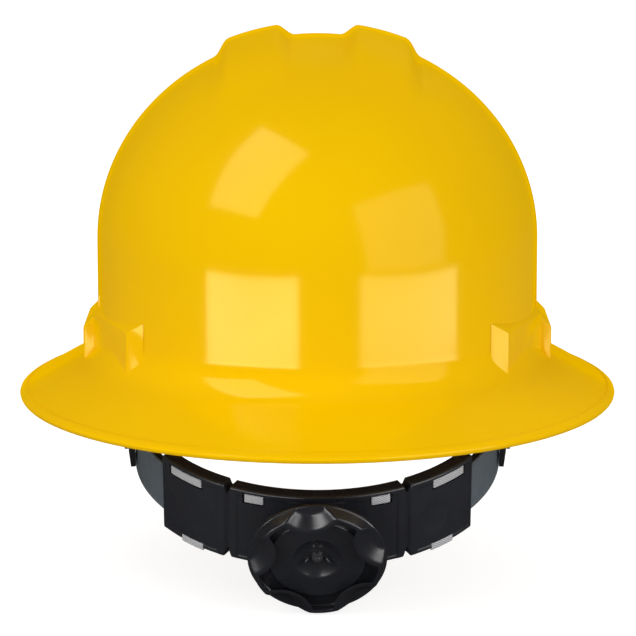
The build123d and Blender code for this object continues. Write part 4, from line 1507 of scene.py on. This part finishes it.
class Stitching:
    """Rows of thread, set along a path by a geometry tree."""

    STITCH_SHARE = 0.72
    THREAD_RADIUS = 0.28

    def __init__(self) -> None:
        """Builds the tree with its named inputs."""
        self.tree = bpy.data.node_groups.new("stitch_row", "GeometryNodeTree")
        sockets = self.tree.interface
        sockets.new_socket("Geometry", in_out="INPUT", socket_type="NodeSocketGeometry")
        self.spacing = sockets.new_socket("Spacing", in_out="INPUT", socket_type="NodeSocketFloat")
        self.length = sockets.new_socket("Stitch Length", in_out="INPUT", socket_type="NodeSocketFloat")
        self.thread = sockets.new_socket("Thread Radius", in_out="INPUT", socket_type="NodeSocketFloat")
        self.finish = sockets.new_socket("Finish", in_out="INPUT", socket_type="NodeSocketMaterial")
        sockets.new_socket("Geometry", in_out="OUTPUT", socket_type="NodeSocketGeometry")
        entry = add_node(self.tree, "NodeGroupInput")
        curve = add_node(self.tree, "GeometryNodeMeshToCurve", {0: entry.outputs[0]})
        points = add_node(
            self.tree,
            "GeometryNodeCurveToPoints",
            {0: curve.outputs[0], "Length": entry.outputs[1]},
            mode="LENGTH",
        )
        stitch = add_node(
            self.tree,
            "GeometryNodeMeshUVSphere",
            {"Segments": 8, "Rings": 6, "Radius": entry.outputs[3]},
        )
        ratio = add_node(
            self.tree, "ShaderNodeMath", {0: entry.outputs[2], 1: entry.outputs[3]}, operation="DIVIDE"
        )
        half = add_node(self.tree, "ShaderNodeMath", {0: ratio.outputs[0], 1: 0.5}, operation="MULTIPLY")
        size = add_node(self.tree, "ShaderNodeCombineXYZ", {0: 1.0, 1: 1.0, 2: half.outputs[0]})
        turn = add_node(
            self.tree,
            "FunctionNodeAlignRotationToVector",
            {"Vector": points.outputs["Tangent"]},
            axis="Z",
        )
        placed = add_node(
            self.tree,
            "GeometryNodeInstanceOnPoints",
            {
                "Points": points.outputs[0],
                "Instance": stitch.outputs[0],
                "Rotation": turn.outputs[0],
                "Scale": size.outputs[0],
            },
        )
        real = add_node(self.tree, "GeometryNodeRealizeInstances", {0: placed.outputs[0]})
        dressed = add_node(
            self.tree, "GeometryNodeSetMaterial", {"Geometry": real.outputs[0], "Material": entry.outputs[4]}
        )
        add_node(self.tree, "NodeGroupOutput", {0: dressed.outputs[0]})

    def row(
        self, name: str, paths: list[np.ndarray], finish: bpy.types.Material, spacing: float = 3.0
    ) -> Object:
        """Sews rows of stitches.

        Args:
            name: The object's name.
            paths: Lines of points in millimetres.
            finish: The thread's material.
            spacing: From stitch to stitch, in millimetres.

        Returns:
            The stitches as one mesh.
        """
        points = np.concatenate(paths) * MM
        edges, first = [], 0
        for path in paths:
            edges += [(first + i, first + i + 1) for i in range(len(path) - 1)]
            first += len(path)
        mesh = bpy.data.meshes.new(name)
        mesh.from_pydata([tuple(p) for p in points], edges, [])
        made = bpy.data.objects.new(name, mesh)
        bpy.context.scene.collection.objects.link(made)
        modifier = made.modifiers.new("stitches", "NODES")
        modifier.node_group = self.tree
        modifier[self.spacing.identifier] = spacing * MM
        modifier[self.length.identifier] = spacing * self.STITCH_SHARE * MM
        modifier[self.thread.identifier] = self.THREAD_RADIUS * MM
        modifier[self.finish.identifier] = finish
        bake(made)
        made.data.shade_smooth()
        return made

    @staticmethod
    def on(made: Object, path: np.ndarray) -> np.ndarray:
        """Lays a line onto a piece's skin.

        Args:
            made: The piece, after its padding has swollen.
            path: The line beside the piece, in millimetres.

        Returns:
            The nearest points of the skin, in millimetres.
        """
        return np.array([made.closest_point_on_mesh(Vector(p * MM))[1] for p in path]) / MM


@dataclass
class Padding:
    """Fills a closed cloth form from inside, as its foam does."""

    voxel: float = 2.0
    pressure: float = 4.0
    frames: int = 20
    most: float = 0.9

    def fill(self, made: Object) -> Object:
        """Lets an object's cloth swell, and keeps the result as its mesh.

        Args:
            made: The closed form.

        Returns:
            The same object.
        """
        remesh = made.modifiers.new("even_cloth", "REMESH")
        remesh.mode = "VOXEL"
        remesh.voxel_size = self.voxel * MM
        bake(made)
        count = len(made.data.vertices)
        before = np.zeros(count * 3, np.float32)
        made.data.vertices.foreach_get("co", before)
        cloth = made.modifiers.new("cloth", "CLOTH")
        cloth.settings.use_pressure = True
        cloth.settings.uniform_pressure_force = self.pressure
        cloth.settings.effector_weights.gravity = 0.0
        cloth.settings.quality = 6
        scene = bpy.context.scene
        for step in range(1, self.frames + 1):
            scene.frame_set(step)
        bake(made)
        scene.frame_set(1)
        after = np.zeros(count * 3, np.float32)
        made.data.vertices.foreach_get("co", after)
        start, moved = before.reshape(-1, 3), after.reshape(-1, 3) - before.reshape(-1, 3)
        reach = np.linalg.norm(moved, axis=1)
        cap = np.minimum(1.0, self.most * MM / np.maximum(reach, 1e-9))
        made.data.vertices.foreach_set("co", (start + moved * cap[:, None]).ravel())
        smooth = made.modifiers.new("even_folds", "SMOOTH")
        smooth.factor, smooth.iterations = 0.5, 3
        bake(made)
        made.data.shade_smooth()
        return made


# ---------------------------------------------------------------- the whole hat


class HardHat:
    """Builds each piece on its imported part, and dresses it."""

    def __init__(self, nodes: dict[str, Object]) -> None:
        """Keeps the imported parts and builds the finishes."""
        self.nodes = nodes
        self.materials = Materials()
        self.stitching = Stitching()
        self.bands = Bands()
        self.straps = Straps()
        self.padding = Padding()

    def place(self, made: Object, finish: str, body: Body, slot: str, *replaced: str) -> Object:
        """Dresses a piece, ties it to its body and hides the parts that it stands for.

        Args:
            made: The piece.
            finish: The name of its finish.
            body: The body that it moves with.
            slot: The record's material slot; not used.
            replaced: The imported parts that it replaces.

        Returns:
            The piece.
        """
        self.materials.dress(made, finish)
        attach(made, body.value)
        if replaced:
            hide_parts(*replaced)
        LOG.info("%s: %d faces in %s", made.name, len(made.data.polygons), finish)
        return made

    def shell_parts(self) -> None:
        """The shell and its four keys."""
        self.place(Shell().build(), "SHELL", Body.SHELL, "shell_yellow", "shell")
        for name in ("key_front_left", "key_front_right", "key_rear_left", "key_rear_right"):
            key = from_node(self.nodes[name], f"{name}_moulded", 0.35)
            self.place(key, "NYLON", Body.SHELL, "suspension_nylon", name)

    def suspension(self) -> None:
        """The straps, the patch and their stitches."""
        straps = self.straps
        upper = straps.strap("crown_strap_upper_woven", straps.heading, straps.lift)
        self.place(upper, "WEBBING", Body.SHELL, "webbing", "crown_strap_upper")
        lower = straps.strap("crown_strap_lower_woven", -straps.heading, 0.0)
        self.place(lower, "WEBBING", Body.SHELL, "webbing", "crown_strap_lower")
        self.place(straps.patch(), "WEBBING", Body.SHELL, "webbing", "crown_patch")
        box = [(-7.5, -7.5), (7.5, -7.5), (7.5, 7.5), (-7.5, 7.5), (-7.5, -7.5), (7.5, 7.5)]
        rows = [straps.seam(-straps.heading, box), straps.seam(-straps.heading, [(7.5, -7.5), (-7.5, 7.5)])]
        for heading, lift in ((straps.heading, straps.lift), (-straps.heading, 0.0)):
            for end in (-1, 1):
                for along in (156.0, 159.0):
                    row = straps.seam(heading, [(-8.0, end * along), (8.0, end * along)])
                    rows.append(row + np.array([0.0, 0.0, lift]))
        thread = self.stitching.row("strap_stitches", rows, self.materials.made["THREAD"], 2.6)
        self.place(thread, "THREAD", Body.SHELL, "webbing")

    def headband_parts(self) -> None:
        """The headband, its studs and its two pads."""
        self.place(self.bands.headband(), "BAND", Body.HEADBAND, "band_grey", "headband")
        studs = from_node(self.nodes["height_studs"], "height_studs_moulded", 0.3)
        self.place(studs, "NYLON", Body.HEADBAND, "suspension_nylon", "height_studs")
        brow = self.place(
            self.padding.fill(self.bands.brow_pad()), "BROW", Body.HEADBAND, "brow_fabric", "brow_pad"
        )
        line = [p for p in RING.round_brow(self.bands.wing_angle, 2.0) if p[1] > 13.0]
        rows = []
        for level in (-6.2, 14.7):
            beside = np.array([(x - nx * 5.5, y - ny * 5.5, level) for x, y, nx, ny in line])
            rows.append(self.stitching.on(brow, RING.place.world(beside)))
        thread = self.stitching.row("brow_pad_stitches", rows, self.materials.made["THREAD"])
        self.place(thread, "THREAD", Body.HEADBAND, "brow_fabric")
        nape = self.place(
            self.padding.fill(self.bands.nape_pad()), "BROW", Body.HEADBAND, "pad_grey", "nape_pad"
        )
        rows = []
        for turn in (-17.0, 17.0):
            beside = np.array([RING.at(turn, -11.0, level) for level in np.linspace(-8.0, 16.0, 24)])
            rows.append(self.stitching.on(nape, RING.place.world(beside)))
        thread = self.stitching.row("nape_pad_stitches", rows, self.materials.made["THREAD"])
        self.place(thread, "THREAD", Body.HEADBAND, "pad_grey")

    def nape_parts(self) -> None:
        """The nape housing, its tabs, and the ratchet inside it."""
        self.place(NapeCover().build(), "NAPE", Body.HEADBAND, "nape_black", "nape_cover")
        plate = from_node(self.nodes["nape_back_plate"], "nape_back_plate_moulded", 0.35)
        self.place(plate, "NAPE", Body.HEADBAND, "nape_black", "nape_back_plate")
        tabs = from_node(self.nodes["pad_tabs"], "pad_tabs_sewn", 0.3)
        self.place(tabs, "TWILL", Body.HEADBAND, "pad_grey", "pad_tabs")
        for side, body in (("left", Body.RACK_LEFT), ("right", Body.RACK_RIGHT)):
            rack = from_node(self.nodes[f"rack_{side}"], f"rack_{side}_moulded", 0.15)
            self.place(rack, "NYLON", body, "suspension_nylon", f"rack_{side}")
        self.place(Knob().build(), "KNOB", Body.KNOB, "knob_black", "knob")
        for name, finish in (
            ("ratchet_ring", "NYLON"), ("pinion", "NYLON"), ("pawl_plate", "NYLON"), ("knob_screw", "STEEL"),
        ):
            node = self.nodes[name]
            for slot in node.material_slots:
                slot.material = self.materials.made[finish]


# ---------------------------------------------------------------- stage


@dataclass(frozen=True)
class Lamp:
    """A softbox aimed at the hat, as wide and tall as given in millimetres."""

    name: str
    azimuth: float
    elevation: float
    distance: float
    width: float
    height: float
    watts: float
    shines: bool = True


@dataclass
class Stage:
    """The floor, the backdrop, the lamps and the camera."""

    floor_drop: float = 0.5
    floor_half: float = 9000.0
    floor_glow: float = 0.82
    floor_grey: float = 0.45
    floor_shine: float = 0.08
    aim: Vec3 = (0.3, 0.0, 31.6)
    elevation: float = 10.4
    distance: float = 1600.0
    lens: float = 196.0
    ambient: float = 0.5
    shine: float = 0.03
    lamps: tuple[Lamp, ...] = (
        Lamp("softbox_left", -52.0, 51.0, 1500.0, 800.0, 1250.0, 8.4),
        Lamp("softbox_right", 50.0, 18.0, 1500.0, 1300.0, 1200.0, 6.2),
        Lamp("softbox_front", 168.0, 34.0, 1500.0, 900.0, 800.0, 7.0, False),
        Lamp("strip_low_left", -34.0, -7.0, 560.0, 500.0, 70.0, 0.7),
        Lamp("strip_low_right", 49.0, -7.0, 560.0, 560.0, 70.0, 0.5),
    )

    def spot(self, azimuth: float, elevation: float, distance: float) -> Vector:
        """A point seen from the aim, with azimuth nought behind the hat.

        Args:
            azimuth: Degrees round from behind, towards the wearer's right.
            elevation: Degrees above the horizon.
            distance: Millimetres from the aim.

        Returns:
            The point in metres.
        """
        turn, rise = math.radians(azimuth), math.radians(elevation)
        way = Vector((math.sin(turn) * math.cos(rise), -math.cos(turn) * math.cos(rise), math.sin(rise)))
        return (Vector(self.aim) + way * distance) * MM

    def look(self, made: Object, where: Vector) -> None:
        """Puts a lamp or the camera at a point, looking at the aim."""
        made.location = where
        made.rotation_euler = (Vector(self.aim) * MM - where).to_track_quat("-Z", "Y").to_euler()

    @staticmethod
    def seen(tree: Tree, path: bpy.types.Node) -> Socket:
        """Whether the eye sees it, straight or through something clear.

        Args:
            tree: The node tree.
            path: Its light path node.

        Returns:
            One for what is seen, and nought for light that falls on the hat.
        """
        rays = {0: path.outputs["Is Camera Ray"], 1: path.outputs["Is Transmission Ray"]}
        return add_node(tree, "ShaderNodeMath", rays, operation="MAXIMUM").outputs[0]

    def backdrop(self) -> None:
        """A world that is white to the eye, dimmer as light and nearly black in reflections."""
        world = bpy.data.worlds.new("studio")
        world.use_nodes = True
        tree = world.node_tree
        tree.nodes.clear()
        path = add_node(tree, "ShaderNodeLightPath")
        strength = add_node(
            tree,
            "ShaderNodeMapRange",
            {"Value": self.seen(tree, path), "To Min": self.ambient, "To Max": 1.0},
        )
        whole = add_node(
            tree,
            "ShaderNodeMapRange",
            {"Value": path.outputs["Is Glossy Ray"], "To Min": strength.outputs[0], "To Max": self.shine},
        )
        light = add_node(tree, "ShaderNodeBackground", {"Color": (1, 1, 1, 1), "Strength": whole.outputs[0]})
        add_node(tree, "ShaderNodeOutputWorld", {"Surface": light.outputs[0]})
        bpy.context.scene.world = world

    def floor(self, lowest: float) -> None:
        """A pale floor just under the hat, which keeps its shadow and is clear from below.

        Args:
            lowest: The height of the hat's lowest point in millimetres.
        """
        level = lowest - self.floor_drop
        half = self.floor_half
        corners = [(x * half, y * half, level) for x, y in ((-1, -1), (1, -1), (1, 1), (-1, 1))]
        mesh = bpy.data.meshes.new("floor")
        mesh.from_pydata([tuple(np.array(c) * MM) for c in corners], [], [(0, 1, 2, 3)])
        floor = bpy.data.objects.new("floor", mesh)
        bpy.context.scene.collection.objects.link(floor)
        material = bpy.data.materials.new("matt_white_floor")
        material.use_nodes = True
        tree = material.node_tree
        tree.nodes.clear()
        path = add_node(tree, "ShaderNodeLightPath")
        lift = add_node(
            tree, "ShaderNodeMath", {0: self.seen(tree, path), 1: self.floor_glow}, operation="MULTIPLY"
        )
        grey = add_node(
            tree,
            "ShaderNodeMapRange",
            {"Value": path.outputs["Is Glossy Ray"], "To Min": self.floor_grey, "To Max": self.floor_shine},
        )
        matt = add_node(tree, "ShaderNodeBsdfDiffuse", {"Color": grey.outputs[0]})
        glow = add_node(tree, "ShaderNodeEmission", {"Color": (1, 1, 1, 1), "Strength": lift.outputs[0]})
        both = add_node(tree, "ShaderNodeAddShader", {0: matt.outputs[0], 1: glow.outputs[0]})
        facing = add_node(tree, "ShaderNodeNewGeometry")
        clear = add_node(tree, "ShaderNodeBsdfTransparent")
        shown = add_node(
            tree,
            "ShaderNodeMixShader",
            {0: facing.outputs["Backfacing"], 1: both.outputs[0], 2: clear.outputs[0]},
        )
        add_node(tree, "ShaderNodeOutputMaterial", {"Surface": shown.outputs[0]})
        mesh.materials.append(material)
        floor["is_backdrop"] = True

    def build(self, lowest: float) -> None:
        """Sets up everything round the hat.

        Args:
            lowest: The height of the hat's lowest point in millimetres.
        """
        scene = bpy.context.scene
        self.backdrop()
        self.floor(lowest)
        for lamp in self.lamps:
            data = bpy.data.lights.new(lamp.name, "AREA")
            data.shape = "RECTANGLE"
            data.size, data.size_y = lamp.width * MM, lamp.height * MM
            data.energy = lamp.watts
            made = bpy.data.objects.new(lamp.name, data)
            scene.collection.objects.link(made)
            made.visible_camera = False
            made.visible_glossy = lamp.shines
            self.look(made, self.spot(lamp.azimuth, lamp.elevation, lamp.distance))
        data = bpy.data.cameras.new("photograph_angle")
        data.lens = self.lens
        data.sensor_width = 36.0
        data.clip_start, data.clip_end = 0.01, 100.0
        camera = bpy.data.objects.new("photograph_angle", data)
        scene.collection.objects.link(camera)
        self.look(camera, self.spot(0.0, self.elevation, self.distance))
        scene.camera = camera
        scene.view_settings.view_transform = "Standard"


def main() -> None:
    """Builds the hat and its stage."""
    logging.basicConfig(level=logging.INFO, format="%(name)s %(message)s")
    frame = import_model()
    hat = HardHat(frame["nodes"])
    hat.shell_parts()
    hat.suspension()
    hat.headband_parts()
    hat.nape_parts()
    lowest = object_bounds()[0][2] / MM
    Stage().build(lowest)
    bpy.context.view_layer.update()


if __name__ == "__main__":
    main()
